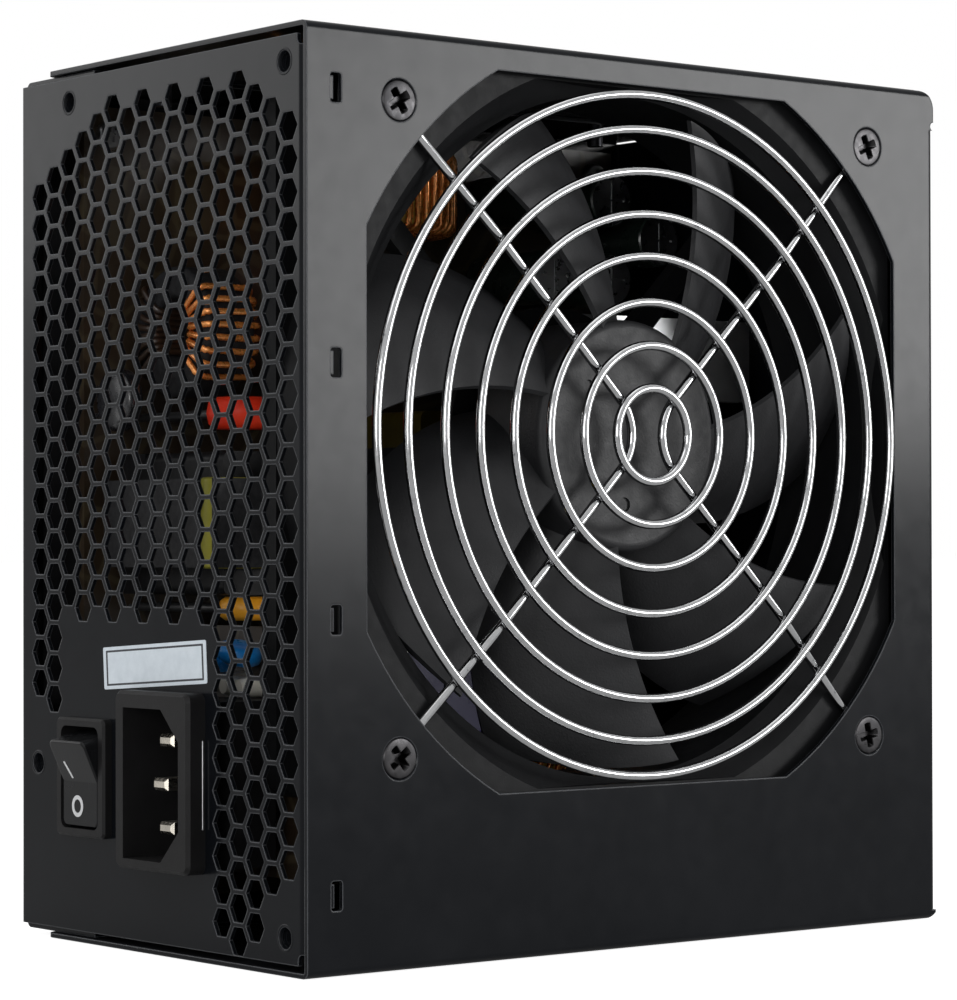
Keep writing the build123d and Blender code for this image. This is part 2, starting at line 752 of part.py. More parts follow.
with BuildPart() as blade:
    for section in blade_sections:
        lead = Vector(edge_place(section, leading_edge), -blade_front)
        trail = Vector(edge_place(section, trailing_edge), -blade_back)
        chord = trail - lead
        normal = Vector(chord.Y, -chord.X).normalized()
        crown = (lead + trail) / 2 + normal * chord.length * blade_bow
        half_edge = normal * blade_edge / 2
        half_middle = normal * blade_middle / 2
        with BuildSketch(Plane.YZ.offset(section)):
            with BuildLine():
                ThreePointArc(lead + half_edge, crown + half_middle, trail + half_edge)
                Line(trail + half_edge, trail - half_edge)
                ThreePointArc(trail - half_edge, crown - half_middle, lead - half_edge)
                Line(lead - half_edge, lead + half_edge)
            make_face()
    loft()
    with BuildSketch(Plane.XY.offset(-fan_depth)):
        Circle(blade_tip)
        Circle(hub_radius - hub_wall / 2, mode=Mode.SUBTRACT)
    extrude(amount=fan_depth, mode=Mode.INTERSECT)

with BuildPart() as fan_rotor:
    with BuildSketch(facing_fan(hub_front_y, fan_x, fan_z)):
        Circle(hub_radius)
    extrude(amount=-hub_depth)
    fillet(fan_rotor.edges().filter_by(GeomType.CIRCLE).group_by(Axis.Y)[0], radius=1.5)
    with Locations(fan_front):
        with PolarLocations(0, blade_count, start_angle=first_blade):
            add(blade.part)
    with BuildSketch(facing_fan(hub_inner_y, fan_x, fan_z)):
        Circle(hub_radius - hub_wall)
        Circle(boss_radius, mode=Mode.SUBTRACT)
    extrude(amount=-hub_depth, mode=Mode.SUBTRACT)
    with BuildSketch(facing_fan(tube_front_y, fan_x, fan_z)):
        Circle(boss_radius)
    extrude(amount=-hub_depth, mode=Mode.SUBTRACT)
    with BuildSketch(facing_fan(hub_inner_y - hub_wall / 3, fan_x, fan_z)):
        Circle(shaft_radius)
    extrude(amount=-hub_depth, mode=Mode.SUBTRACT)
    # two round gate marks in the hub's face
    with BuildSketch(facing_fan(hub_front_y, fan_x, fan_z)):
        with Locations((-1.2, -11.7)):
            Circle(1.25)
        with Locations((-9.0, 8.3)):
            Circle(1.0)
    extrude(amount=-0.4, mode=Mode.SUBTRACT)
fan_rotor.part.label = "fan_rotor"
export_step(fan_rotor.part, "parts/fan_rotor.step")

shaft_end_y = fan_back_y - tube_floor - 0.3
with BuildPart() as rotor_shaft:
    with BuildSketch(facing_fan(hub_inner_y - hub_wall / 3, fan_x, fan_z)):
        Circle(shaft_radius)
    extrude(amount=hub_inner_y - hub_wall / 3 - shaft_end_y)
    chamfer(rotor_shaft.edges().group_by(Axis.Y)[-1], length=0.3)
rotor_shaft.part.label = "rotor_shaft"
export_step(rotor_shaft.part, "parts/rotor_shaft.step")

yoke_outer = hub_radius - hub_wall
yoke_back_y = hub_back_y - 0.5
with BuildPart() as motor_yoke:
    with BuildSketch(facing_fan(hub_inner_y, fan_x, fan_z)):
        Circle(yoke_outer)
        Circle(boss_radius + boss_gap, mode=Mode.SUBTRACT)
    extrude(amount=hub_inner_y - yoke_back_y)
    with BuildSketch(facing_fan(hub_inner_y + yoke_thickness, fan_x, fan_z)):
        Circle(yoke_outer - yoke_thickness)
    extrude(amount=-hub_depth, mode=Mode.SUBTRACT)
motor_yoke.part.label = "motor_yoke"
export_step(motor_yoke.part, "parts/motor_yoke.step")

magnet_outer = yoke_outer - yoke_thickness
magnet_inner = magnet_outer - magnet_thickness
with BuildPart() as magnet_ring:
    with BuildSketch(facing_fan(tube_front_y, fan_x, fan_z)):
        Circle(magnet_outer)
        Circle(magnet_inner, mode=Mode.SUBTRACT)
    extrude(amount=tube_front_y - yoke_back_y + 1.0)
magnet_ring.part.label = "magnet_ring"
export_step(magnet_ring.part, "parts/magnet_ring.step")

with BuildPart() as bearing_sleeve:
    with BuildSketch(facing_fan(tube_front_y + sleeve_recess, fan_x, fan_z)):
        Circle(tube_inner)
        Circle(shaft_radius + shaft_fit, mode=Mode.SUBTRACT)
    extrude(amount=tube_front_y + 2 * sleeve_recess - fan_back_y + tube_floor)
bearing_sleeve.part.label = "bearing_sleeve"
export_step(bearing_sleeve.part, "parts/bearing_sleeve.step")

stator_outer = magnet_inner - stator_gap
stator_front_y = tube_front_y + 3.0
stator_stack = 6.0
stator_pole = 3.0
stator_ring = 7.9
shoe = 2.2
coil_reach = 1.5  # beyond the stack at both ends
with BuildPart() as stator_core:
    with BuildSketch(facing_fan(stator_front_y, fan_x, fan_z)):
        Circle(stator_outer)
        Circle(stator_outer - shoe, mode=Mode.SUBTRACT)
        with PolarLocations(stator_outer, 4, start_angle=45):
            Rectangle(2 * shoe + 2, 3.0, mode=Mode.SUBTRACT)
        Circle(stator_ring)
        with PolarLocations(stator_outer / 2 + 2, 4):
            Rectangle(stator_outer - 4 - shoe / 2, stator_pole)
        Circle(tube_outer, mode=Mode.SUBTRACT)
    extrude(amount=-stator_stack)
stator_core.part.label = "stator_core"
export_step(stator_core.part, "parts/stator_core.step")

coil_length = stator_outer - shoe - stator_ring
with BuildPart() as stator_coils:
    with BuildSketch(facing_fan(stator_front_y - coil_reach, fan_x, fan_z)):
        with PolarLocations(stator_ring + coil_length / 2, 4):
            RectangleRounded(coil_length, 8.0, 0.8)
    extrude(amount=-stator_stack - 2 * coil_reach)
    add(stator_core.part, mode=Mode.SUBTRACT)
stator_coils.part.label = "stator_coils"
export_step(stator_coils.part, "parts/stator_coils.step")

with BuildPart() as motor_circuit_board:
    with BuildSketch(facing_fan(disc_front_y, fan_x, fan_z)):
        Circle(magnet_inner - 0.3)
        Circle(tube_outer, mode=Mode.SUBTRACT)
    extrude(amount=1.2)
motor_circuit_board.part.label = "motor_circuit_board"
export_step(motor_circuit_board.part, "parts/motor_circuit_board.step")

# ------------------------------------------------------------------ circuit board and its supports
board_hole = 1.6
standoff_bore_depth = 4.5
board_screw_head = 2.6
board_screw_head_height = 1.6
standoff_places = [
    (x, z)
    for x in (board_low_x + board_hole_inset, board_high_x - board_hole_inset)
    for z in (board_low_z + board_hole_inset, board_high_z - board_hole_inset)
]

with BuildPart() as circuit_board:
    with BuildSketch(board_face):
        with Locations(((board_low_x + board_high_x) / 2, (board_low_z + board_high_z) / 2)):
            Rectangle(board_high_x - board_low_x, board_high_z - board_low_z)
        with Locations(*standoff_places):
            Circle(board_hole, mode=Mode.SUBTRACT)
    extrude(amount=-board_thickness)
circuit_board.part.label = "circuit_board"
export_step(circuit_board.part, "parts/circuit_board.step")

with BuildPart() as board_standoffs:
    with BuildSketch(facing_fan(board_back)):
        with Locations(*standoff_places):
            RegularPolygon(radius=standoff_radius, side_count=6)
    extrude(amount=board_back - floor_inner)
    with BuildSketch(facing_fan(board_back)):
        with Locations(*standoff_places):
            Circle(board_hole)
    extrude(amount=-standoff_bore_depth, mode=Mode.SUBTRACT)
board_standoffs.part.label = "board_standoffs"
export_step(board_standoffs.part, "parts/board_standoffs.step")

with BuildPart() as board_screws:
    one = pan_screw(board_screw_head, board_screw_head_height, cover_screw_radius, board_thickness + 4.0, 2.6)
    with Locations(board_face):
        with Locations(*standoff_places):
            add(one)
board_screws.part.label = "board_screws"
export_step(board_screws.part, "parts/board_screws.step")

with BuildPart() as insulation_sheet:
    with BuildSketch(facing_fan(floor_inner)):
        with Locations(((mains_x + cable_panel_x) / 2, case_height / 2)):
            Rectangle(case_length - 9, case_height - 9)
        with Locations(*standoff_places):
            Circle(standoff_radius + 0.3, mode=Mode.SUBTRACT)
    extrude(amount=insulation)
insulation_sheet.part.label = "insulation_sheet"
export_step(insulation_sheet.part, "parts/insulation_sheet.step")

# ------------------------------------------------------------------ parts on the board
def on_board(x, z):
    """Plane on the board's component side, its own height running towards the fan."""
    return facing_fan(board_front, x, z)


def electrolytic(radius, height):
    """Radial capacitor can with its crimp groove and scored top."""
    groove = radius * 0.06
    with BuildPart() as can:
        with BuildSketch(Plane.XZ):
            with BuildLine():
                Polyline(
                    (0, 0),
                    (radius - groove, 0),
                    (radius, groove),
                    (radius, 2.0),
                    (radius - groove, 2.8),
                    (radius, 3.6),
                    (radius, height - groove),
                    (radius - groove, height),
                    (0, height),
                    close=True,
                )
            make_face()
        revolve(axis=Axis.Z)
        with BuildSketch(Plane.XY.offset(height)):
            Rectangle(radius * 1.3, 0.4)
            Rectangle(0.4, radius * 1.3)
        extrude(amount=-0.3, mode=Mode.SUBTRACT)
    return can.part


def toroid_core(outer, inner, width):
    """Ring core about Z with rounded edges."""
    with BuildPart() as ring:
        with BuildSketch(Plane.XZ):
            with Locations(((outer + inner) / 2, 0)):
                RectangleRounded(outer - inner, width, 1.0)
        revolve(axis=Axis.Z)
    return ring.part


def toroid_winding(core, outer, inner, width, wire, turns, sweep_angle):
    """Turns of wire round a ring core, spread over an arc of it; the core is cut out."""
    with BuildPart() as winding:
        with BuildSketch(Plane.XZ):
            with Locations(((outer + inner) / 2, 0)):
                RectangleRounded(outer - inner + wire, width + wire, 1.2)
        revolve(axis=Axis.Z, revolution_arc=sweep_angle)
        for turn in range(turns):
            angle = (turn + 0.5) * sweep_angle / turns
            with BuildSketch(Plane.XZ.rotated((0, 0, angle)).offset(-wire / 2)):
                with Locations(((outer + inner) / 2, 0)):
                    RectangleRounded(outer - inner + 2 * wire, width + 2 * wire, 1.5)
            extrude(amount=wire)
        add(core, mode=Mode.SUBTRACT)
    return winding.part


def frame_core(length, height, depth, leg, base):
    """Core of two facing E halves that stands on its pins, the middle leg upright."""
    side = leg / 2
    window = (length - 2 * leg) / 2
    with BuildPart() as core:
        with BuildSketch(Plane.XZ.offset(-depth / 2)):
            with Locations((0, base + height / 2)):
                Rectangle(length, height)
            for sign in (-1, 1):
                with Locations((sign * (side + window / 2), base + height / 2)):
                    Rectangle(window, height - 2 * side, mode=Mode.SUBTRACT)
        extrude(amount=depth)
    return core.part


def frame_winding(length, height, depth, leg, base, tape_gap=0.3):
    """Bobbin and taped winding round the middle leg, with the pins that carry it."""
    side = leg / 2
    window = (length - 2 * leg) / 2
    wide = leg + 2 * (window - tape_gap)
    deep = depth + 2 * (window - tape_gap)
    low = base + side
    high = base + height - side
    with BuildPart() as winding:
        with BuildSketch(Plane.XY.offset(low)):
            RectangleRounded(wide, deep, 1.5)
            Rectangle(leg, depth, mode=Mode.SUBTRACT)
        extrude(amount=high - low)
        # bobbin foot in front of and behind the core, and its pins
        for sign in (-1, 1):
            with BuildSketch(Plane.XY.offset(base * 0.6)):
                with Locations((0, sign * (depth + deep) / 4)):
                    Rectangle(wide, (deep - depth) / 2)
            extrude(amount=low - base * 0.6)
            with BuildSketch(Plane.XY):
                with Locations((0, sign * (depth + deep) / 4)):
                    with GridLocations(wide / 3, 1, 3, 1):
                        Circle(0.5)
            extrude(amount=base * 0.6)
    return winding.part


def power_package():
    """Flat power package against a plate at y = 0, its leads down to the board at z = 0."""
    with BuildPart() as package:
        with BuildSketch(Plane.XZ):
            with Locations((0, 8.0 + 4.6)):
                Rectangle(10.0, 9.2)
        extrude(amount=-4.5)
        with BuildSketch(Plane.XZ):
            with Locations((0, 8.0 + 9.2 + 3.2)):
                Rectangle(10.0, 6.4)
            with Locations((0, 8.0 + 9.2 + 3.4)):
                Circle(1.8, mode=Mode.SUBTRACT)
        extrude(amount=-1.3)
        with BuildSketch(Plane.XY):
            with Locations((0, 2.4)):
                with GridLocations(2.54, 1, 3, 1):
                    Rectangle(0.8, 0.6)
        extrude(amount=8.2)
    return package.part


with BuildPart() as bulk_capacitors:
    one = electrolytic(11.5, 35.9)
    with Locations(on_board(-10, 42), on_board(-10, 18)):
        add(one)
bulk_capacitors.part.label = "bulk_capacitors"
export_step(bulk_capacitors.part, "parts/bulk_capacitors.step")

with BuildPart() as output_capacitors:
    one = electrolytic(5.0, 21.0)
    with Locations(*[on_board(x, z) for x, z in ((28, 118), (42, 118), (28, 133), (42, 133), (54, 126))]):
        add(one)
output_capacitors.part.label = "output_capacitors"
export_step(output_capacitors.part, "parts/output_capacitors.step")

with BuildPart() as small_capacitors:
    one = electrolytic(3.15, 12.0)
    with Locations(*[on_board(x, z) for x, z in ((52.5, 64), (52.5, 72), (25.5, 80))]):
        add(one)
small_capacitors.part.label = "small_capacitors"
export_step(small_capacitors.part, "parts/small_capacitors.step")

with BuildPart() as bridge_rectifier:
    with BuildSketch(Plane.XZ.offset(-1.75)):
        with Locations((0, 3.0 + 7.5)):
            Rectangle(20.0, 15.0)
        with Locations((10, 18)):
            Rectangle(3.0, 3.0, rotation=45, mode=Mode.SUBTRACT)
        with Locations((0, 11.5)):
            Circle(1.6, mode=Mode.SUBTRACT)
    extrude(amount=3.5)
    with BuildSketch(Plane.XY):
        with GridLocations(5.08, 1, 4, 1):
            Rectangle(1.0, 0.8)
    extrude(amount=3.0)
bridge_rectifier.part.locate(on_board(-34, 50.5).location)
bridge_rectifier.part.label = "bridge_rectifier"
export_step(bridge_rectifier.part, "parts/bridge_rectifier.step")

with BuildPart() as varistor:
    with BuildSketch(Plane.YZ):
        with Locations((0, 8.0)):
            Circle(5.5)
    extrude(amount=3.5)
    fillet(varistor.edges().filter_by(GeomType.CIRCLE), radius=1.2)
    with BuildSketch(Plane.XY):
        with Locations((1.2, -2.5), (2.3, 2.5)):
            Circle(lead_radius)
    extrude(amount=5.0)
varistor.part.locate(on_board(-61.5, 93).location)
varistor.part.label = "varistor"
export_step(varistor.part, "parts/varistor.step")

with BuildPart() as fuse:
    with BuildSketch(Plane.YZ.offset(-10)):
        with Locations((0, 4.0)):
            Circle(2.5)
    extrude(amount=20)
    for x in (-10, 4.5):
        with BuildSketch(Plane.YZ.offset(x)):
            with Locations((0, 4.0)):
                Circle(2.8)
            with Locations((0, 2.0)):
                Rectangle(3.0, 4.0)
        extrude(amount=5.5)
fuse.part.locate(on_board(-50, 44.8).location)
fuse.part.label = "fuse"
export_step(fuse.part, "parts/fuse.step")

heatsink_height = 42.9
heatsink_plate = 2.5
fin_thickness = 1.3
fin_pitch = 3.0


def heatsink(length, reach_low, reach_high):
    """Extruded heatsink that stands on the board: a plate with two fins across its top."""
    with BuildPart() as sink:
        with BuildSketch(Plane.YZ.offset(-length / 2)):
            with Locations((0, heatsink_height / 2)):
                Rectangle(heatsink_plate, heatsink_height)
            with Locations((0, heatsink_height), (0, heatsink_height - fin_pitch)):
                with Locations(((reach_high - reach_low) / 2, -fin_thickness / 2)):
                    Rectangle(reach_high + reach_low, fin_thickness)
        extrude(amount=length)
    return sink.part


primary_sink_z = 57.25
with BuildPart() as primary_heatsink:
    with Locations(on_board(-5, primary_sink_z)):
        add(heatsink(40, 8, 8))
primary_heatsink.part.label = "primary_heatsink"
export_step(primary_heatsink.part, "parts/primary_heatsink.step")

with BuildPart() as power_transistors:
    one = power_package()
    with Locations(*[on_board(x, primary_sink_z + heatsink_plate / 2) for x in (-15, 5)]):
        add(one)
power_transistors.part.label = "power_transistors"
export_step(power_transistors.part, "parts/power_transistors.step")

secondary_sink_z = 101.25
with BuildPart() as secondary_heatsink:
    with Locations(on_board(32.5, secondary_sink_z)):
        add(heatsink(49, 7, 8))
secondary_heatsink.part.label = "secondary_heatsink"
export_step(secondary_heatsink.part, "parts/secondary_heatsink.step")

with BuildPart() as rectifiers:
    one = Rot(0, 0, 180) * power_package()
    with Locations(*[on_board(x, secondary_sink_z - heatsink_plate / 2) for x in (18, 33, 48)]):
        add(one)
rectifiers.part.label = "rectifiers"
export_step(rectifiers.part, "parts/rectifiers.step")

main_transformer_size = (36, 30, 13, 11, 4.9)
with BuildPart() as main_transformer_core:
    with Locations(on_board(2, 78.5)):
        add(frame_core(*main_transformer_size))
main_transformer_core.part.label = "main_transformer_core"
export_step(main_transformer_core.part, "parts/main_transformer_core.step")

with BuildPart() as main_transformer_winding:
    with Locations(on_board(2, 78.5)):
        add(frame_winding(*main_transformer_size))
main_transformer_winding.part.label = "main_transformer_winding"
export_step(main_transformer_winding.part, "parts/main_transformer_winding.step")

driver_transformer_size = (19, 20, 5, 5, 4.0)
with BuildPart() as driver_transformer_core:
    with Locations(on_board(-11, 112.5)):
        add(frame_core(*driver_transformer_size))
driver_transformer_core.part.label = "driver_transformer_core"
export_step(driver_transformer_core.part, "parts/driver_transformer_core.step")

with BuildPart() as driver_transformer_winding:
    with Locations(on_board(-11, 112.5)):
        add(frame_winding(*driver_transformer_size))
driver_transformer_winding.part.label = "driver_transformer_winding"
export_step(driver_transformer_winding.part, "parts/driver_transformer_winding.step")

standby_transformer_size = (18, 18, 6, 5, 4.0)
with BuildPart() as standby_transformer_core:
    with Locations(on_board(39, 68)):
        add(frame_core(*standby_transformer_size))
standby_transformer_core.part.label = "standby_transformer_core"
export_step(standby_transformer_core.part, "parts/standby_transformer_core.step")

with BuildPart() as standby_transformer_winding:
    with Locations(on_board(39, 68)):
        add(frame_winding(*standby_transformer_size))
standby_transformer_winding.part.label = "standby_transformer_winding"
export_step(standby_transformer_winding.part, "parts/standby_transformer_winding.step")

pfc_choke_size = (30, 34, 15, 10, 4.9)
with BuildPart() as pfc_choke_core:
    with Locations(on_board(-46, 71.5)):
        add(frame_core(*pfc_choke_size))
pfc_choke_core.part.label = "pfc_choke_core"
export_step(pfc_choke_core.part, "parts/pfc_choke_core.step")

with BuildPart() as pfc_choke_winding:
    with Locations(on_board(-46, 71.5)):
        add(frame_winding(*pfc_choke_size))
pfc_choke_winding.part.label = "pfc_choke_winding"
export_step(pfc_choke_winding.part, "parts/pfc_choke_winding.step")

choke_wire = 1.3

# mains choke: a ring on edge that faces the mains panel
line_choke_size = (11.4, 6.0, 10.0)
line_choke_y = board_front - line_choke_size[0] - choke_wire
line_choke_place = Plane(origin=(-47, line_choke_y, 105), x_dir=(0, 0, 1), z_dir=(1, 0, 0))
with BuildPart() as line_choke_core:
    with Locations(line_choke_place):
        add(toroid_core(*line_choke_size))
line_choke_core.part.label = "line_choke_core"
export_step(line_choke_core.part, "parts/line_choke_core.step")

with BuildPart() as line_choke_winding:
    one = toroid_winding(toroid_core(*line_choke_size), *line_choke_size, choke_wire, 9, 130)
    with Locations(line_choke_place):
        with PolarLocations(0, 2, start_angle=25):
            add(one)
line_choke_winding.part.label = "line_choke_winding"
export_step(line_choke_winding.part, "parts/line_choke_winding.step")

# output choke: a ring on edge that faces the top of the casing
output_choke_size = (15.4, 9.5, 13.0)
output_choke_start = 200
output_choke_y = board_front - output_choke_size[0] - choke_wire
output_choke_place = Plane(origin=(-13, output_choke_y, 131), x_dir=(1, 0, 0), z_dir=(0, 0, 1))
with BuildPart() as output_choke_core:
    with Locations(output_choke_place):
        add(toroid_core(*output_choke_size))
output_choke_core.part.label = "output_choke_core"
export_step(output_choke_core.part, "parts/output_choke_core.step")

with BuildPart() as output_choke_winding:
    one = toroid_winding(toroid_core(*output_choke_size), *output_choke_size, choke_wire, 26, 320)
    with Locations(output_choke_place):
        with PolarLocations(0, 1, start_angle=output_choke_start):
            add(one)
output_choke_winding.part.label = "output_choke_winding"
export_step(output_choke_winding.part, "parts/output_choke_winding.step")

# filter choke: a ring that lies flat on the board
filter_choke_size = (14.4, 8.0, 11.0)
filter_choke_y = board_front - filter_choke_size[2] / 2 - choke_wire
filter_choke_place = facing_fan(filter_choke_y, 40, 36)
with BuildPart() as filter_choke_core:
    with Locations(filter_choke_place):
        add(toroid_core(*filter_choke_size))
filter_choke_core.part.label = "filter_choke_core"
export_step(filter_choke_core.part, "parts/filter_choke_core.step")

with BuildPart() as filter_choke_winding:
    one = toroid_winding(toroid_core(*filter_choke_size), *filter_choke_size, choke_wire, 22, 300)
    with Locations(filter_choke_place):
        add(one)
filter_choke_winding.part.label = "filter_choke_winding"
export_step(filter_choke_winding.part, "parts/filter_choke_winding.step")

with BuildPart() as control_board:
    with BuildSketch(Plane.XZ):
        with Locations((0, 10.5)):
            Rectangle(26, 21)
    extrude(amount=1.2)
    with BuildSketch(Plane.XZ.offset(1.2)):
        with Locations((-4, 11)):
            Rectangle(14, 5)
        with Locations((8, 6), (8, 14)):
            Rectangle(3, 4)
    extrude(amount=1.6)
control_board.part.locate(on_board(43, 85.2).location)
control_board.part.label = "control_board"
export_step(control_board.part, "parts/control_board.step")

# ------------------------------------------------------------------ earth point on the upper flange
earth_y = floor_inner - earth_back
lug_thickness = 0.8
lug_radius = 3.2
lug_tail = 7.0
with BuildPart() as earth_lug:
    with BuildSketch(Plane.XY.offset(flange_high - sheet)):
        with Locations((earth_x, earth_y)):
            Circle(lug_radius)
        with Locations((earth_x, earth_y)):
            Rectangle(lug_tail, 3.0, align=(Align.MIN, Align.CENTER))
        with Locations((earth_x, earth_y)):
            Circle(cover_screw_radius + screw_gap, mode=Mode.SUBTRACT)
    extrude(amount=-lug_thickness)
    with BuildSketch(Plane.YZ.offset(earth_x + lug_tail - 4.0)):
        with Locations((earth_y, flange_high - sheet - 1.5)):
            Circle(1.5)
    extrude(amount=4.0)
earth_lug.part.label = "earth_lug"
export_step(earth_lug.part, "parts/earth_lug.step")

with BuildPart() as earth_screw:
    one = pan_screw(2.8, 1.8, cover_screw_radius, lug_thickness + sheet, 2.8)
    with Locations(Location((earth_x, earth_y, flange_high - sheet - lug_thickness), (180, 0, 0))):
        add(one)
earth_screw.part.label = "earth_screw"
export_step(earth_screw.part, "parts/earth_screw.step")

with BuildPart() as earth_wire:
    start = (earth_x + lug_tail, earth_y, flange_high - sheet - 1.5)
    turn_point = (earth_x + lug_tail + 6.0, earth_y, flange_high - sheet - 1.5)
    low_point = (earth_x + lug_tail + 6.0, earth_y, board_high_z - 3.0)
    end = (earth_x + lug_tail + 6.0, board_front, board_high_z - 3.0)
    with BuildLine() as wire_path:
        FilletPolyline(start, turn_point, low_point, end, radius=2.0)
    with BuildSketch(Plane(origin=start, z_dir=(1, 0, 0))):
        Circle(wire_radius)
    sweep(path=wire_path.wires()[0])
earth_wire.part.label = "earth_wire"
export_step(earth_wire.part, "parts/earth_wire.step")
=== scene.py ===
"""Looks of the power supply unit: materials, small detail, light and camera."""

import json
from math import cos, pi, radians, sin

import bmesh
import bpy
from mathutils import Matrix, Vector


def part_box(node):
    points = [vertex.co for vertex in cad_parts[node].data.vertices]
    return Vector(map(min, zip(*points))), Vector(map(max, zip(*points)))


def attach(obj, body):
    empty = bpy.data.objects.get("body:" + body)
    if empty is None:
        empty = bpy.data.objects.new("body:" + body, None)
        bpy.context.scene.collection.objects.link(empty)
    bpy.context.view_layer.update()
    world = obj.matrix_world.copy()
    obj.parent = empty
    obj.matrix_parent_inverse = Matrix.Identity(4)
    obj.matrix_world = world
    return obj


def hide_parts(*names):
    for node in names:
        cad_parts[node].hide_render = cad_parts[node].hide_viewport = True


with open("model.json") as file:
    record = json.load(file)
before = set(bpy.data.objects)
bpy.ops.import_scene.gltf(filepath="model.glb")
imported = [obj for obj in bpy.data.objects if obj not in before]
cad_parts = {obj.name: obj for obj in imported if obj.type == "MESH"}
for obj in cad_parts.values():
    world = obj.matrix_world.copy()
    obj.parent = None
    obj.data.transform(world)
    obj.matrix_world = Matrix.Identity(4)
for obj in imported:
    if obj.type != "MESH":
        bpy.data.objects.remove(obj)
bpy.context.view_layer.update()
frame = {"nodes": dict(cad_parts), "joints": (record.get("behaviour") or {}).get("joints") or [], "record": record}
cad = frame["nodes"]
scene = bpy.context.scene
MM = 0.001
# sockets of the Mix node that share one name
MIX_COLOUR_A, MIX_COLOUR_B, MIX_COLOUR_RESULT = 6, 7, 2
MIX_FACTOR, MIX_NUMBER_A, MIX_NUMBER_B, MIX_NUMBER_RESULT = 0, 2, 3, 0
# most of a noise texture lies between these values
NOISE_LOW, NOISE_HIGH = 0.3, 0.7


# ---------------------------------------------------------------- material helpers
def new_material(name, **values):
    """Material with one Principled shader, its plain values set on the shader itself."""
    material = bpy.data.materials.new(name)
    material.use_nodes = True
    shader = material.node_tree.nodes["Principled BSDF"]
    for key, value in values.items():
        socket = shader.inputs[key.replace("_", " ")]
        socket.default_value = (*value, 1.0) if isinstance(value, tuple) and len(value) == 3 else value
    return material


def add_node(material, kind, **settings):
    node = material.node_tree.nodes.new(kind)
    for key, value in settings.items():
        setattr(node, key, value)
    return node


def link(material, source, target):
    material.node_tree.links.new(source, target)


def shader_of(material):
    return material.node_tree.nodes["Principled BSDF"]


def coordinates(material, stretch=(1, 1, 1)):
    """Object coordinates in metres, stretched by an amount along each axis."""
    place = add_node(material, "ShaderNodeTexCoord")
    mapping = add_node(material, "ShaderNodeMapping")
    mapping.inputs["Scale"].default_value = stretch
    link(material, place.outputs["Object"], mapping.inputs["Vector"])
    return mapping.outputs["Vector"]


def noise(material, scale, detail=4.0, roughness=0.55, stretch=(1, 1, 1)):
    texture = add_node(material, "ShaderNodeTexNoise")
    texture.inputs["Scale"].default_value = scale
    texture.inputs["Detail"].default_value = detail
    texture.inputs["Roughness"].default_value = roughness
    link(material, coordinates(material, stretch), texture.inputs["Vector"])
    return texture.outputs["Fac"]


def cell_edges(material, scale):
    """Distance to the nearest edge in a pattern of irregular cells."""
    texture = add_node(material, "ShaderNodeTexVoronoi", feature="DISTANCE_TO_EDGE")
    texture.inputs["Scale"].default_value = scale
    link(material, coordinates(material), texture.inputs["Vector"])
    return texture.outputs["Distance"]


def stripes(material, scale, axis, distortion):
    texture = add_node(material, "ShaderNodeTexWave", bands_direction=axis)
    texture.inputs["Scale"].default_value = scale
    texture.inputs["Distortion"].default_value = distortion
    link(material, coordinates(material), texture.inputs["Vector"])
    return texture.outputs["Fac"]


def ramp(material, factor, stops):
    node = add_node(material, "ShaderNodeValToRGB")
    ramp_data = node.color_ramp
    while len(ramp_data.elements) < len(stops):
        ramp_data.elements.new(0.5)
    for element, (place, colour) in zip(ramp_data.elements, stops):
        element.position = place
        element.color = (*colour, 1.0) if isinstance(colour, tuple) else (colour, colour, colour, 1.0)
    link(material, factor, node.inputs["Fac"])
    return node.outputs["Color"]


def mottled(material, factor, low, high):
    """Colour that wanders between two with a noise."""
    return ramp(material, factor, [(NOISE_LOW, low), (NOISE_HIGH, high)])


def colour_by(material, factor, low, high):
    link(material, mottled(material, factor, low, high), shader_of(material).inputs["Base Color"])


def roughness_by(material, factor, low, high):
    spread = add_node(material, "ShaderNodeMapRange")
    spread.inputs["From Min"].default_value = NOISE_LOW
    spread.inputs["From Max"].default_value = NOISE_HIGH
    spread.inputs["To Min"].default_value = low
    spread.inputs["To Max"].default_value = high
    link(material, factor, spread.inputs["Value"])
    link(material, spread.outputs["Result"], shader_of(material).inputs["Roughness"])


def mixed(material, factor, first, second):
    """Colour that goes from the first to the second; either may be a socket or a plain colour."""
    blend = add_node(material, "ShaderNodeMix", data_type="RGBA")
    link(material, factor, blend.inputs["Factor"])
    for socket, colour in ((blend.inputs[MIX_COLOUR_A], first), (blend.inputs[MIX_COLOUR_B], second)):
        if isinstance(colour, tuple):
            socket.default_value = (*colour, 1.0)
        else:
            link(material, colour, socket)
    return blend.outputs[MIX_COLOUR_RESULT]


def math_node(tree, operation, first, second):
    """Result of an operation on two inputs, each a socket or a plain number."""
    node = tree.nodes.new("ShaderNodeMath")
    node.operation = operation
    for socket, value in zip(node.inputs, (first, second)):
        if isinstance(value, float):
            socket.default_value = value
        else:
            tree.links.new(value, socket)
    return node.outputs["Value"]


def surface_normal(material):
    """X, Y and Z of the true normal, in the world's axes."""
    geometry = add_node(material, "ShaderNodeNewGeometry")
    split = add_node(material, "ShaderNodeSeparateXYZ")
    link(material, geometry.outputs["True Normal"], split.inputs["Vector"])
    return split.outputs


def bump_by(material, factor, depth, strength=1.0):
    """Adds relief of the given depth in metres on top of any relief already there."""
    bump = add_node(material, "ShaderNodeBump")
    bump.inputs["Strength"].default_value = strength
    bump.inputs["Distance"].default_value = depth
    link(material, factor, bump.inputs["Height"])
    target = shader_of(material).inputs["Normal"]
    if target.is_linked:
        link(material, target.links[0].from_socket, bump.inputs["Normal"])
    link(material, bump.outputs["Normal"], target)


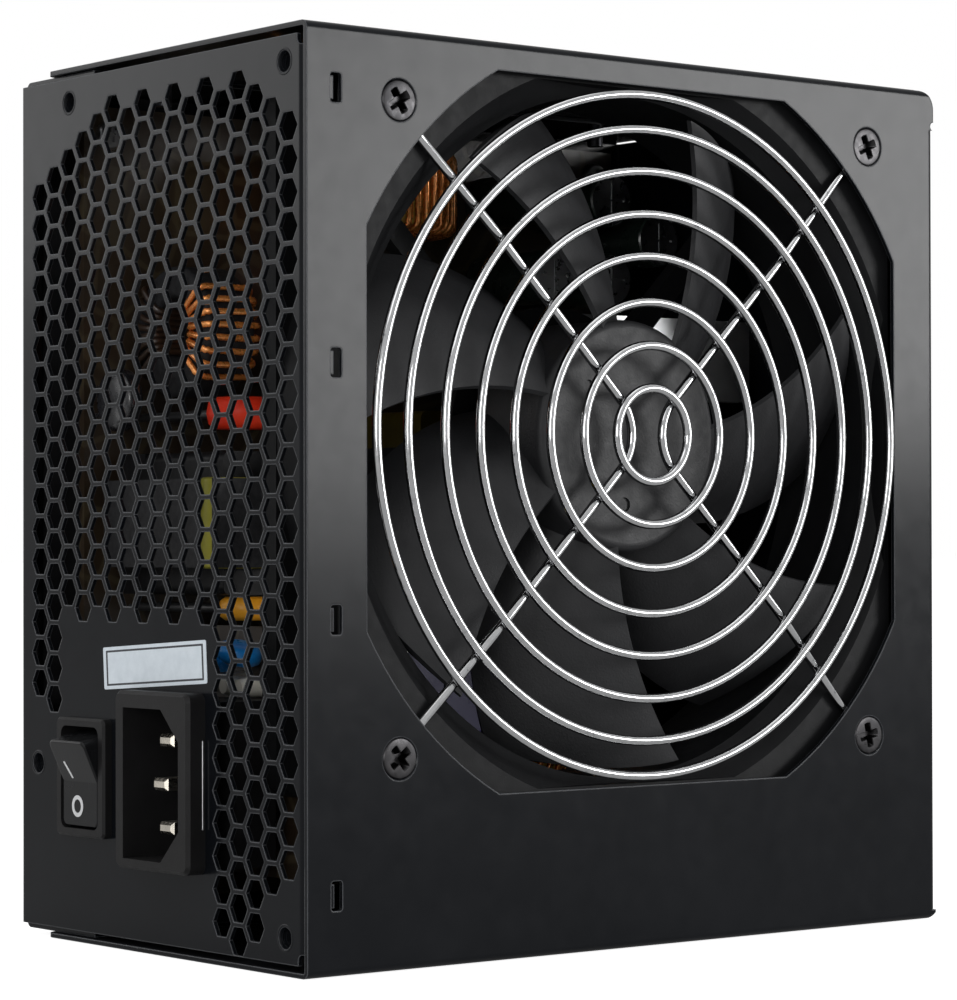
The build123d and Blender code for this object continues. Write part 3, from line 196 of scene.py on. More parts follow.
# ---------------------------------------------------------------- materials
def painted_steel():
    """Semi-gloss black paint with fine orange peel, a pale colour painted along every rounded edge as a highlight,
    and dusty where it looks up.
    """
    edge_radius, edge_samples = 0.35 * MM, 6
    edge_highlight_colour, dusty_roughness = (0.13, 0.135, 0.145), 0.62
    material = new_material("black_paint", Specular_IOR_Level=0.10)
    shader = shader_of(material)
    roughness_by(material, noise(material, 260, 5.0), 0.15, 0.19)
    rounded = add_node(material, "ShaderNodeBevel", samples=edge_samples)
    rounded.inputs["Radius"].default_value = edge_radius
    link(material, rounded.outputs["Normal"], shader.inputs["Normal"])
    geometry = add_node(material, "ShaderNodeNewGeometry")
    agreement = add_node(material, "ShaderNodeVectorMath", operation="DOT_PRODUCT")
    link(material, rounded.outputs["Normal"], agreement.inputs[0])
    link(material, geometry.outputs["Normal"], agreement.inputs[1])
    # painted highlight: a pale colour along every rounded edge stands in for light caught by the edges
    edge = ramp(material, agreement.outputs["Value"], [(0.86, 1.0), (0.985, 0.0)])
    looks_up = ramp(material, surface_normal(material)["Z"], [(0.85, 0.0), (0.97, 1.0)])
    dulled = add_node(material, "ShaderNodeMix", data_type="FLOAT")
    link(material, looks_up, dulled.inputs[MIX_FACTOR])
    link(material, shader.inputs["Roughness"].links[0].from_socket, dulled.inputs[MIX_NUMBER_A])
    dulled.inputs[MIX_NUMBER_B].default_value = dusty_roughness
    link(material, dulled.outputs[MIX_NUMBER_RESULT], shader.inputs["Roughness"])
    paint = mottled(material, noise(material, 60), (0.0038, 0.0045, 0.0060), (0.0062, 0.0070, 0.0088))
    link(material, mixed(material, edge, paint, edge_highlight_colour), shader.inputs["Base Color"])
    bump_by(material, noise(material, 1500, 2.0), 0.00002, 0.08)
    bump_by(material, noise(material, 4200, 2.0), 0.000008, 0.12)
    return material


def grained_plastic(name, low, high, rough, grain=2600, depth=0.00003, specular=0.35):
    material = new_material(name, Specular_IOR_Level=specular)
    colour_by(material, noise(material, 90), low, high)
    roughness_by(material, noise(material, 500, 5.0), rough - 0.04, rough + 0.05)
    bump_by(material, noise(material, grain, 3.0), depth, 0.5)
    return material


def metal(name, low, high, rough, spread=0.08, grain=(1, 1, 1), scale=700, depth=0.00001):
    material = new_material(name, Metallic=1.0)
    colour_by(material, noise(material, 120), low, high)
    roughness_by(material, noise(material, scale, 5.0, stretch=grain), rough, rough + spread)
    bump_by(material, noise(material, scale, 4.0, stretch=grain), depth, 0.3)
    return material


def chromed_wire():
    """Bright plating with a few dull pits."""
    material = new_material("guard_chrome", Metallic=1.0)
    pits = noise(material, 700, 5.0, 0.7)
    plating = ramp(
        material,
        pits,
        [(0.30, (0.12, 0.12, 0.13)), (0.37, (0.33, 0.335, 0.34)), (0.75, (0.40, 0.40, 0.405))],
    )
    link(material, plating, shader_of(material).inputs["Base Color"])
    roughness_by(material, noise(material, 1500, 5.0), 0.06, 0.12)
    bump_by(material, noise(material, 1300, 4.0), 0.000008, 0.3)
    return material


def enamelled_copper():
    material = new_material("copper_wire", Metallic=0.55, Coat_Weight=0.5, Coat_Roughness=0.12)
    colour_by(material, noise(material, 240), (0.80, 0.24, 0.045), (1.0, 0.42, 0.11))
    roughness_by(material, noise(material, 900), 0.2, 0.34)
    bump_by(material, noise(material, 1500), 0.00002, 0.3)
    return material


def ferrite():
    material = new_material("ferrite", Specular_IOR_Level=0.15)
    colour_by(material, noise(material, 900, 6.0), (0.012, 0.012, 0.013), (0.026, 0.026, 0.028))
    roughness_by(material, noise(material, 300), 0.5, 0.7)
    bump_by(material, noise(material, 2200, 5.0), 0.00005, 0.6)
    return material


def tape(name, low, high, coat=0.4, specular=0.5):
    material = new_material(name, Coat_Weight=coat, Coat_Roughness=0.2, Specular_IOR_Level=specular)
    colour_by(material, noise(material, 70), low, high)
    roughness_by(material, noise(material, 200), 0.3, 0.45)
    bump_by(material, noise(material, 120, 3.0), 0.0002, 0.4)
    bump_by(material, stripes(material, 180, "Y", 1.5), 0.00004, 0.3)
    return material


def lacquer(name, low, high, rough=0.22, coat=0.5):
    material = new_material(name, Coat_Weight=coat, Coat_Roughness=0.1, Specular_IOR_Level=0.2 + 0.6 * coat)
    colour_by(material, noise(material, 160), low, high)
    roughness_by(material, noise(material, 400), rough, rough + 0.1)
    bump_by(material, noise(material, 350), 0.00006, 0.3)
    return material


def capacitor_sleeve(name, sleeve_low, sleeve_high, top=(0.62, 0.63, 0.65), top_metal=1.0, gloss=0.5):
    """Plastic sleeve on the sides, and a bare or capped end that faces the fan."""
    material = new_material(name, Coat_Weight=0.3 * top_metal, Coat_Roughness=0.15, Specular_IOR_Level=gloss)
    shader = shader_of(material)
    towards_fan = math_node(material.node_tree, "MULTIPLY", surface_normal(material)["Y"], -1.0)
    end = ramp(material, towards_fan, [(0.90, 0.0), (0.94, 1.0)])
    sleeve = mottled(material, noise(material, 140), sleeve_low, sleeve_high)
    link(material, mixed(material, end, sleeve, top), shader.inputs["Base Color"])
    if top_metal:
        link(material, end, shader.inputs["Metallic"])
    roughness_by(material, noise(material, 500), 0.24, 0.36)
    bump_by(material, noise(material, 700), 0.00002, 0.3)
    return material


def circuit_board(name, low, high, track):
    """Coated board with pale tracks and pads under the coating."""
    material = new_material(name, Coat_Weight=0.35, Coat_Roughness=0.2)
    tracks = cell_edges(material, 95)
    mask = ramp(material, tracks, [(0.03, 1.0), (0.06, 0.0)])
    ground = mottled(material, noise(material, 80), low, high)
    link(material, mixed(material, mask, ground, track), shader_of(material).inputs["Base Color"])
    roughness_by(material, noise(material, 300), 0.35, 0.5)
    bump_by(material, mask, 0.00004, 0.4)
    return material


def glass_tube():
    material = new_material("fuse_glass", Transmission_Weight=0.6, IOR=1.5)
    colour_by(material, noise(material, 300), (0.75, 0.78, 0.78), (0.9, 0.92, 0.92))
    roughness_by(material, noise(material, 500), 0.05, 0.12)
    return material


slot_materials = {
    "black_paint": painted_steel(),
    "dark_steel": metal("dark_steel", (0.05, 0.05, 0.055), (0.09, 0.09, 0.10), 0.3),
    "guard_chrome": chromed_wire(),
    "fan_plastic": grained_plastic(
        "fan_plastic", (0.0140, 0.0143, 0.0156), (0.0225, 0.0228, 0.0245), 0.50, 2400, 0.00010, 0.26
    ),
    "black_plastic": grained_plastic(
        "black_plastic", (0.0085, 0.0083, 0.0086), (0.0130, 0.0127, 0.0132), 0.42, 3200, 0.00005, 0.1
    ),
    "rocker_plastic": grained_plastic(
        "rocker_plastic", (0.0075, 0.0078, 0.0085), (0.0105, 0.0108, 0.0116), 0.24, 2000, 0.00001, 0.13
    ),
    "bright_steel": metal("bright_steel", (0.30, 0.30, 0.31), (0.42, 0.42, 0.43), 0.26, 0.14),
    "nickel": metal("nickel", (0.36, 0.34, 0.30), (0.56, 0.52, 0.45), 0.2, 0.16, (0.1, 1, 1), 1800),
    "bearing_bronze": metal("bearing_bronze", (0.50, 0.30, 0.12), (0.66, 0.42, 0.18), 0.35),
    "shaft_steel": metal("shaft_steel", (0.66, 0.66, 0.67), (0.78, 0.78, 0.79), 0.12),
    "magnet": ferrite(),
    "lamination": metal("lamination", (0.28, 0.28, 0.28), (0.42, 0.41, 0.40), 0.35, 0.1, (1, 12, 1), 900),
    "copper_wire": enamelled_copper(),
    "board": circuit_board("board", (0.022, 0.014, 0.008), (0.040, 0.026, 0.014), (0.060, 0.045, 0.025)),
    "fine_board": circuit_board(
        "fine_board", (0.010, 0.060, 0.022), (0.020, 0.095, 0.036), (0.10, 0.22, 0.10)
    ),
    "ferrite": ferrite(),
    "core_yellow": lacquer("core_yellow", (0.62, 0.48, 0.08), (0.78, 0.62, 0.14), 0.35),
    "tape_yellow": tape("tape_yellow", (0.50, 0.34, 0.012), (0.68, 0.50, 0.035)),
    "tape_red": tape("tape_red", (0.42, 0.020, 0.010), (0.62, 0.05, 0.02)),
    "can_blue": capacitor_sleeve(
        "can_blue", (0.020, 0.016, 0.085), (0.035, 0.030, 0.14), (0.014, 0.011, 0.060), 0.0, 0.15
    ),
    "can_dark": capacitor_sleeve("can_dark", (0.012, 0.020, 0.016), (0.022, 0.034, 0.028)),
    "film_yellow": lacquer("film_yellow", (0.78, 0.50, 0.03), (0.88, 0.62, 0.07), 0.32),
    "disc_blue": lacquer("disc_blue", (0.010, 0.24, 0.74), (0.025, 0.34, 0.88), 0.25, 0.2),
    "disc_red": lacquer("disc_red", (0.62, 0.022, 0.008), (0.80, 0.045, 0.014), 0.35, 0.0),
    "heatsink_aluminium": metal(
        "heatsink_aluminium", (0.66, 0.67, 0.68), (0.80, 0.81, 0.82), 0.28, 0.14, (0.05, 1, 1), 1600, 0.00003
    ),
    "package_black": grained_plastic("package_black", (0.018, 0.018, 0.018), (0.030, 0.030, 0.031), 0.5),
    "fuse_glass": glass_tube(),
    "insulation": grained_plastic(
        "insulation", (0.008, 0.008, 0.009), (0.014, 0.014, 0.015), 0.5, 900, 0.00004, 0.1
    ),
    "standoff_brass": metal("standoff_brass", (0.62, 0.45, 0.16), (0.76, 0.57, 0.24), 0.24),
    "wire_black": grained_plastic(
        "wire_black", (0.016, 0.016, 0.017), (0.028, 0.028, 0.029), 0.38, 1200, 0.00002
    ),
    "wire_green": grained_plastic("wire_green", (0.07, 0.22, 0.03), (0.12, 0.32, 0.05), 0.38, 1200, 0.00002),
}
for subpart in frame["record"]["subparts"]:
    mesh = cad[subpart["node"]].data
    mesh.materials.clear()
    mesh.materials.append(slot_materials[subpart["material_slot"]])

# parts whose own finish differs from the rest of their slot, and two winding tapes painted dark as shade, since
# the inside of the unit lies in shade
finishes_and_painted_shade = {
    # painted shade: near black in place of the large choke's yellow tape
    "pfc_choke_winding": tape("tape_painted_shade_black", (0.005, 0.005, 0.0055), (0.011, 0.011, 0.012), 0.0, 0.1),
    "varistor": lacquer("disc_black", (0.010, 0.010, 0.012), (0.020, 0.020, 0.024)),
    "fan_frame": grained_plastic(
        "fan_frame_plastic", (0.0060, 0.0062, 0.0068), (0.0095, 0.0098, 0.0106), 0.5, 2600, 0.00004, 0.10
    ),
    # painted shade: dark amber in place of the transformer's yellow tape
    "main_transformer_winding": tape("tape_painted_shade_amber", (0.075, 0.055, 0.006), (0.13, 0.095, 0.010), 0.1, 0.2),
}
for node, material in finishes_and_painted_shade.items():
    cad[node].data.materials[0] = material

# finishes of the pieces made below
olive_tape = tape("tape_olive", (0.20, 0.19, 0.020), (0.30, 0.28, 0.035), 0.0, 0.2)
# painted shade: dark brown wire for the line choke's winding that lies away from the light
shade_painted_wire = lacquer("shade_painted_wire", (0.018, 0.010, 0.006), (0.036, 0.018, 0.010), 0.35)
black_oxide = metal(
    "black_oxide", (0.016, 0.016, 0.017), (0.034, 0.033, 0.034), 0.24, 0.16, scale=900, depth=0.00002
)
white_sleeve = lacquer("white_sleeve", (0.94, 0.90, 0.80), (0.97, 0.94, 0.86), 0.35)
orange_film = lacquer("orange_film", (0.80, 0.30, 0.01), (0.92, 0.42, 0.03), 0.35, 0.1)
white_ink = new_material("white_ink", Specular_IOR_Level=0.3)
colour_by(white_ink, noise(white_ink, 900), (0.66, 0.67, 0.68), (0.80, 0.81, 0.82))
roughness_by(white_ink, noise(white_ink, 700), 0.4, 0.55)
paper = new_material("paper", Specular_IOR_Level=0.35)
colour_by(paper, noise(paper, 500, 6.0), (0.66, 0.73, 0.79), (0.74, 0.81, 0.87))
roughness_by(paper, noise(paper, 300), 0.38, 0.5)
bump_by(paper, noise(paper, 900, 5.0), 0.00002, 0.3)
label_ink = new_material("label_ink", Specular_IOR_Level=0.3)
colour_by(label_ink, noise(label_ink, 900), (0.020, 0.022, 0.028), (0.035, 0.037, 0.045))
roughness_by(label_ink, noise(label_ink, 500), 0.4, 0.5)

# folded sheet and moulded parts have slightly rounded edges, widths in millimetres
edge_widths = {
    "cover": 0.12,
    "inlet_body": 0.18,
    "switch_frame": 0.18,
    "fan_frame": 0.25,
    "cable_grommet": 0.15,
    "inlet_pins": 0.12,
}
for node, width in edge_widths.items():
    bevel = cad[node].modifiers.new("soft_edges", "BEVEL")
    bevel.width = width * MM
    bevel.segments = 3
    bevel.limit_method = "ANGLE"
    bevel.angle_limit = radians(40)
    bevel.use_clamp_overlap = True
    bevel.harden_normals = False


# ---------------------------------------------------------------- mesh helpers
def mesh_object(name, builder, material, body):
    """Object from a bmesh function, riding on a body of the frame."""
    mesh = bpy.data.meshes.new(name)
    work = bmesh.new()
    builder(work)
    bmesh.ops.recalc_face_normals(work, faces=work.faces)
    work.to_mesh(mesh)
    work.free()
    piece = bpy.data.objects.new(name, mesh)
    scene.collection.objects.link(piece)
    for entry in material if isinstance(material, list) else [material]:
        mesh.materials.append(entry)
    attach(piece, body)
    return piece


def smooth(piece, angle=35):
    for polygon in piece.data.polygons:
        polygon.use_smooth = True
    piece.data.set_sharp_from_angle(angle=radians(angle))


def rounded_rectangle(width, height, radius, steps=6):
    """Points of a rounded rectangle about the origin, anticlockwise."""
    points = []
    for corner, (sx, sy) in enumerate(((1, 1), (-1, 1), (-1, -1), (1, -1))):
        for step in range(steps + 1):
            angle = (corner + step / steps) * pi / 2
            points.append(
                (
                    sx * (width / 2 - radius) + radius * cos(angle),
                    sy * (height / 2 - radius) + radius * sin(angle),
                )
            )
    return points


def lifted(points, level):
    """Flat outline in millimetres raised to a level, as a loop in metres."""
    return [(x * MM, y * MM, level * MM) for x, y in points]


def round_loop(radius, level, count, squash=1.0):
    """Circle, or an ellipse narrowed along X, at a level."""
    angles = [2 * pi * k / count for k in range(count)]
    return lifted([(squash * radius * cos(angle), radius * sin(angle)) for angle in angles], level)


def placed(x, y, z, *turns):
    """Place in metres, then turns of so many degrees, each about one axis."""
    place = Matrix.Translation((x, y, z))
    for degrees, axis in turns:
        place = place @ Matrix.Rotation(radians(degrees), 4, axis)
    return place


def stack_loops(work, loops, place, materials=None, cap=True, base=False):
    """Skin between equal loops of points, with a cap on the last one and, if asked, on the first."""
    rings = [[work.verts.new(place @ Vector(point)) for point in loop] for loop in loops]
    count = len(rings[0])
    for level, (lower, upper) in enumerate(zip(rings, rings[1:])):
        for index in range(count):
            following = (index + 1) % count
            face = work.faces.new((lower[index], lower[following], upper[following], upper[index]))
            face.material_index = materials[level] if materials else 0
    if cap:
        face = work.faces.new(rings[-1])
        face.material_index = materials[-1] if materials else 0
    if base:
        work.faces.new(list(reversed(rings[0])))


# turns that lay a local XY plane on the mains panel, on the fan face, and along Y
ON_MAINS_PANEL = ((-90, "Z"), (90, "X"))
ON_FAN_FACE = ((90, "X"),)
INTO_DEPTH = ((-90, "X"),)

panel_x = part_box("base_tray")[0].x

# ---------------------------------------------------------------- blank label beside the inlet
label_width, label_height, label_thickness = 31.0, 7.1, 0.09
label_y, label_z, label_tilt = 0.3, 47.9, 3.6
border_start, border_end = 0.85, 1.35  # of the printed line, from the label's edge
border_squeeze = 1.35  # the line lies a little nearer to the long edges


def build_label(work):
    place = placed(panel_x, label_y * MM, label_z * MM, *ON_MAINS_PANEL, (label_tilt, "Z"))
    loops = []
    for inset, level in (
        (0.0, 0.0),
        (0.0, label_thickness),
        (border_start, label_thickness),
        (border_end, label_thickness),
        (border_end, label_thickness),
    ):
        corner = max(0.35 - inset / 4, 0.05)
        outline = rounded_rectangle(label_width - 2 * inset, label_height - border_squeeze * inset, corner)
        loops.append(lifted(outline, level))
    stack_loops(work, loops, place, [0, 0, 1, 1, 0])


mesh_object("blank_label", build_label, [paper, label_ink], "unit")

# ---------------------------------------------------------------- marks on the rocker
rocker_joint = next(joint for joint in frame["joints"] if joint["name"] == "rocker_tilt")
pivot = Vector(rocker_joint["pos_m"])
half_angle = 12  # degrees between each face and the line across the rocker
face_distance = 3.5 * MM  # from the pivot to each face
valley_z = pivot.z - face_distance / cos(radians(half_angle)) * sin(radians(half_angle))
lower_face = placed(pivot.x - face_distance, pivot.y, 0, *ON_MAINS_PANEL)
upper_face = placed(pivot.x - face_distance, pivot.y, valley_z, (-2 * half_angle, "Y"), *ON_MAINS_PANEL)
mark_lift, mark_sink = 0.05, -0.02


def build_off_mark(work):
    place = lower_face @ placed(-0.8 * MM, 23.4 * MM, 0)
    ring = ((1.85, mark_sink), (1.85, mark_lift), (1.15, mark_lift), (1.15, mark_sink))
    loops = [round_loop(radius, level, 40, 0.95) for radius, level in ring]
    stack_loops(work, loops, place, cap=False)


def build_on_mark(work):
    place = upper_face @ placed(-2.3 * MM, 2.2 * MM, 0, (17, "Z"))
    loops = []
    for inset, level in ((0, mark_sink), (0, mark_lift), (0.05, mark_lift + 0.01)):
        loops.append(lifted(rounded_rectangle(0.5 - 2 * inset, 3.3 - 2 * inset, 0.2 - inset), level))
    stack_loops(work, loops, place)


mesh_object("off_mark", build_off_mark, white_ink, "rocker")
mesh_object("on_mark", build_on_mark, white_ink, "rocker")

# ---------------------------------------------------------------- fan screws with real driver recesses
screw_head_radius = 3.45  # of the plain solids they replace
screw_profile = (
    (3.10, -2.4),
    (3.10, -1.1),
    (3.40, -0.9),
    (3.42, -0.75),
    (3.30, -0.22),
    (3.12, -0.04),
    (2.80, 0.0),
)
recess_profile = ((2.25, 1.55, 0.0), (2.12, 1.35, -0.12), (1.5, 0.85, -1.6))  # arm, width and level
recess_turns = (32, 24, 38, 12)  # how each screw happened to stop


def polar_cross(arm, width, count, turn):
    """Outline of a rounded driver cross, one point per equal angle."""
    points = []
    for index in range(count):
        angle = 2 * pi * index / count
        offset = (angle - turn + pi / 4) % (pi / 2) - pi / 4
        reach = min(arm / cos(offset), (width / 2) / max(abs(sin(offset)), 1e-6))
        reach = min(reach, arm)
        points.append((reach * cos(angle), reach * sin(angle)))
    return points


def build_screws(work):
    low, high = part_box("fan_screws")
    radius = screw_head_radius * MM
    spots = [(x, z) for z in (high.z - radius, low.z + radius) for x in (low.x + radius, high.x - radius)]
    count = 96
    for (x, z), turn in zip(spots, recess_turns):
        loops = [round_loop(reach, level, count) for reach, level in screw_profile]
        for arm, width, level in recess_profile:
            loops.append(lifted(polar_cross(arm, width, count, radians(turn)), level))
        stack_loops(work, loops, placed(x, low.y, z, *ON_FAN_FACE))


screws = mesh_object("fan_screw_heads", build_screws, black_oxide, "unit")
smooth(screws, 30)
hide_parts("fan_screws")

# ---------------------------------------------------------------- rolled threads in the four mounting holes
thread_pitch = 0.79
thread_root, thread_crest = 1.70, 1.46
thread_mouth = [(2.25, -0.01), (2.05, 0.07), (1.85, 0.05), (1.72, -0.08)]
thread_start, thread_end = -0.25, -2.3


def build_threads(work):
    profile = list(thread_mouth)
    depth = thread_start
    while depth > thread_end:
        profile += [
            (thread_root, depth),
            (thread_crest, depth - 0.3),
            (thread_crest, depth - 0.38),
            (thread_root, depth - 0.7),
        ]
        depth -= thread_pitch
    for mount in frame["record"]["mounts"]:
        if mount["name"].startswith("rear_hole"):
            centre = Vector(mount["pos_m"])
            loops = [round_loop(reach, level, 32) for reach, level in profile]
            stack_loops(work, loops, placed(panel_x, centre.y, centre.z, *ON_MAINS_PANEL), cap=False)


threads = mesh_object("mounting_threads", build_threads, slot_materials["black_paint"], "unit")
smooth(threads, 50)


# ---------------------------------------------------------------- wound chokes, one turn of wire at a time
def rounded_turn(inner, outer, width, round_by, steps=5):
    """Closed path of one turn round the section of a ring core, as (reach, height) pairs."""
    middle, span = (inner + outer) / 2, outer - inner
    return [(middle + x, y) for x, y in rounded_rectangle(span, width, round_by, steps)]


def build_turns(work, place, outer, inner, width, wire, turns, start, sweep, sides=8):
    """Enamelled turns on a ring core about the local Z axis; sizes in millimetres, angles in degrees."""
    lift = wire * 0.5
    path = rounded_turn(inner - lift, outer + lift, width + 2 * lift, 1.0 + lift)
    for turn in range(turns):
        angle = radians(start) + (turn + 0.5) * radians(sweep) / turns
        lean = 0.02 * sin(7.3 * turn)
        rings = []
        for index, (reach, height) in enumerate(path):
            before, after = path[index - 1], path[(index + 1) % len(path)]
            along = Vector((after[0] - before[0], after[1] - before[1])).normalized()
            normal = Vector((along.y, -along.x))
            spin = angle + lean * (1 if index % 2 else 0)
            ring = []
            for side in range(sides):
                swing = 2 * pi * side / sides
                out, across = cos(swing) * wire / 2, sin(swing) * wire / 2
                r, h = reach + normal.x * out, height + normal.y * out
                x, y = r * cos(spin) - across * sin(spin), r * sin(spin) + across * cos(spin)
                ring.append(work.verts.new(place @ (Vector((x, y, h)) * MM)))
            rings.append(ring)
        for index, ring in enumerate(rings):
            following = rings[(index + 1) % len(rings)]
            for side in range(sides):
                other = (side + 1) % sides
                work.faces.new((ring[side], ring[other], following[other], following[side]))


def middle_of(node):
    low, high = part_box(node)
    return (low + high) / 2


def wound(name, core, facing, material, *sizes):
    """Wire on one ring core: outer radius, inner radius, width, wire, turns, start and sweep."""
    place = placed(*middle_of(core), *facing)
    piece = mesh_object(name, lambda work: build_turns(work, place, *sizes), material, "unit")
    smooth(piece, 60)
    return piece


copper = slot_materials["copper_wire"]
FACING_MAINS, FACING_TOP, FACING_FAN = ((90, "Y"),), (), ((90, "X"),)
# the line choke has two windings, and the one next to the board is painted dark brown as shade
line_sizes = (11.4, 6.0, 10.0, 1.15, 8)
line_turns = wound("line_choke_turns", "line_choke_core", FACING_MAINS, copper, *line_sizes, -134, 92)
wound("line_choke_turns_shade_painted", "line_choke_core", FACING_MAINS, shade_painted_wire, *line_sizes, 46, 92)
output_turns = wound(
    "output_choke_turns", "output_choke_core", FACING_TOP, copper, 15.4, 9.5, 13.0, 1.25, 44, 200, 320
)
filter_turns = wound(
    "filter_choke_turns", "filter_choke_core", FACING_FAN, copper, 14.4, 8.0, 11.0, 1.15, 34, 20, 300
)
for piece, node in (
    (line_turns, "line_choke_winding"),
    (output_turns, "output_choke_winding"),
    (filter_turns, "filter_choke_winding"),
):
    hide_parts(node)

# ---------------------------------------------------------------- dipped discs and their leads
filter_board_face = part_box("filter_board")[0].x
main_board_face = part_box("circuit_board")[0].y
# shares of a dipped disc's radius where its flat face ends and where its shoulder bends
small_shoulder, large_shoulder = (0.7, 0.93), (0.75, 0.94)


def dipped_disc(work, place, shoulder, radius, thickness, count):
    flat, bend = shoulder
    profile = ((0.02, -0.5), (flat, -0.5), (bend, -0.34), (1.0, 0.0), (bend, 0.34), (flat, 0.5), (0.02, 0.5))
    loops = [round_loop(radius * reach, thickness * level, count) for reach, level in profile]
    stack_loops(work, loops, place, base=True)


def build_discs(work):
    """Pair standing edge-on to the inlet's filter board."""
    radius, thickness, stand, lean = 3.9, 3.2, 1.0, 18
    for y, z in ((5.0, 48.6), (-2.6, 49.6)):
        place = placed(filter_board_face - (radius + stand) * MM, y * MM, z * MM, (lean, "X"))
        dipped_disc(work, place, small_shoulder, radius, thickness, 28)


def build_sleeves(work):
    """Sleeved leads of the two discs, standing on the filter board."""
    reach, radius, gap = 6.5, 1.7, 4.4
    profile = ((0.8, 0.0), (1.0, 0.15), (1.0, reach * 0.5), (0.92, reach * 0.8), (0.7, reach))
    for y, z in ((5.2, 44.6), (-2.2, 44.0)):
        for side in (-1, 1):
            loops = [round_loop(radius * grow, level, 16) for grow, level in profile]
            place = placed(filter_board_face, (y + side * gap / 2) * MM, z * MM, (-90, "Y"))
            stack_loops(work, loops, place, base=True)


def raised_disc(x, y, z, radius, thickness):
    """Builder of a disc that lies across the airflow, held clear of the main board."""
    place = placed(x * MM, y * MM, z * MM)
    return lambda work: dipped_disc(work, place, large_shoulder, radius, thickness, 32)


surge_limiter_at = (-50.0, 3.5, 90.2)
orange_capacitor_at = (-50.0, 2.7, 57.0)


def build_raised_leads(work):
    """Two sleeved leads from each raised disc down to the main board."""
    bare, sleeved, gap = 0.45, 0.75, 5.0
    for (x, y, z), inside in ((surge_limiter_at, 3.0), (orange_capacitor_at, 1.8)):
        start = y + inside
        length = main_board_face / MM - start
        profile = ((bare, 0.0), (sleeved, 1.5), (sleeved, length - 2.0), (bare, length - 1.9), (bare, length))
        for side in (-1, 1):
            loops = [round_loop(radius, level, 14) for radius, level in profile]
            place = placed((x + side * gap / 2) * MM, start * MM, z * MM, *INTO_DEPTH)
            stack_loops(work, loops, place, base=True)


smooth(mesh_object("filter_discs", build_discs, slot_materials["disc_blue"], "unit"), 80)
smooth(mesh_object("filter_sleeves", build_sleeves, white_sleeve, "unit"), 50)
for name, builder, material, slot in (
    ("surge_limiter", raised_disc(*surge_limiter_at, 6.2, 5.4), slot_materials["disc_red"], "disc_red"),
    ("orange_capacitor", raised_disc(*orange_capacitor_at, 4.6, 4.0), orange_film, "film_yellow"),
    ("raised_leads", build_raised_leads, slot_materials["wire_black"], "wire_black"),
):
    smooth(mesh_object(name, builder, material, "unit"), 70)


# ---------------------------------------------------------------- tape on a choke, and the inlet's latch
def build_core_tape(work):
    """Band of tape round the outside of the large choke core, near its front edge."""
    low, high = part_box("pfc_choke_core")
    middle = (low + high) / 2
    wide, tall = (high.x - low.x) / MM, (high.z - low.z) / MM
    loops = []
    for grow, level in ((0.0, -0.6), (0.12, -0.7), (0.16, -2.2), (0.12, -3.7), (0.0, -3.8)):
        loops.append(lifted(rounded_rectangle(wide + 2 * grow, tall + 2 * grow, 0.4 + grow), level))
    stack_loops(work, loops, placed(middle.x, low.y, middle.z, *ON_FAN_FACE), cap=False)


def build_latch(work):
    """Edge of the sprung steel latch in the flank of the inlet."""
    width, height, latch_x, latch_z = 0.34, 14.5, 3.0, 28.8
    low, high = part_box("inlet_body")
    loops = []
    for shrink, level in ((0.0, -0.1), (0.0, 0.10), (0.06, 0.16)):
        loops.append(lifted(rounded_rectangle(width - 2 * shrink, height - 2 * shrink, 0.12), level))
    stack_loops(work, loops, placed(low.x + latch_x * MM, low.y, latch_z * MM, *ON_FAN_FACE))


smooth(mesh_object("core_tape", build_core_tape, olive_tape, "unit"), 50)
mesh_object("inlet_latch", build_latch, slot_materials["bright_steel"], "unit")

# ---------------------------------------------------------------- camera
camera_data = bpy.data.cameras.new("camera")
camera = bpy.data.objects.new("camera", camera_data)
scene.collection.objects.link(camera)
scene.camera = camera
camera_data.lens = 123.5
camera_data.sensor_width = 36.0
camera_data.shift_y = 0.004
camera_data.clip_start = 0.05
camera_data.clip_end = 50.0
turn, tilt, roll = radians(-38.57), radians(-0.703), radians(-0.11)
back = Vector((sin(turn) * cos(tilt), -cos(turn) * cos(tilt), sin(tilt)))
right = Vector((cos(turn), sin(turn), 0.0))
up = back.cross(right)
right, up = cos(roll) * right + sin(roll) * up, -sin(roll) * right + cos(roll) * up
axes = Matrix((right, up, back)).transposed().to_4x4()
camera_place = (-0.38258, -0.47790, 0.06753)
camera.matrix_world = Matrix.Translation(camera_place) @ axes

# ---------------------------------------------------------------- light, world and floor
world = bpy.data.worlds.new("studio")
scene.world = world
world.use_nodes = True
world_tree = world.node_tree
background = world_tree.nodes["Background"]
background.inputs["Color"].default_value = (1, 1, 1, 1)
# full strength where it is seen, directly, mirrored or through glass, and less as light on dull faces
ambient, seen_strength = 0.30, 1.0
ray = world_tree.nodes.new("ShaderNodeLightPath").outputs
direct = math_node(world_tree, "MAXIMUM", ray["Is Camera Ray"], ray["Is Glossy Ray"])
seen = math_node(world_tree, "MAXIMUM", direct, ray["Is Transmission Ray"])
strength = world_tree.nodes.new("ShaderNodeMapRange")
strength.inputs["To Min"].default_value = ambient
strength.inputs["To Max"].default_value = seen_strength
world_tree.links.new(seen, strength.inputs["Value"])
world_tree.links.new(strength.outputs["Result"], background.inputs["Strength"])


def area_light(name, place, target, width, height, power):
    data = bpy.data.lights.new(name, "AREA")
    data.shape = "RECTANGLE"
    data.size = width
    data.size_y = height
    data.energy = power
    lamp = bpy.data.objects.new(name, data)
    scene.collection.objects.link(lamp)
    lamp.location = place
    lamp.rotation_euler = (Vector(target) - Vector(place)).to_track_quat("-Z", "Y").to_euler()
    return lamp


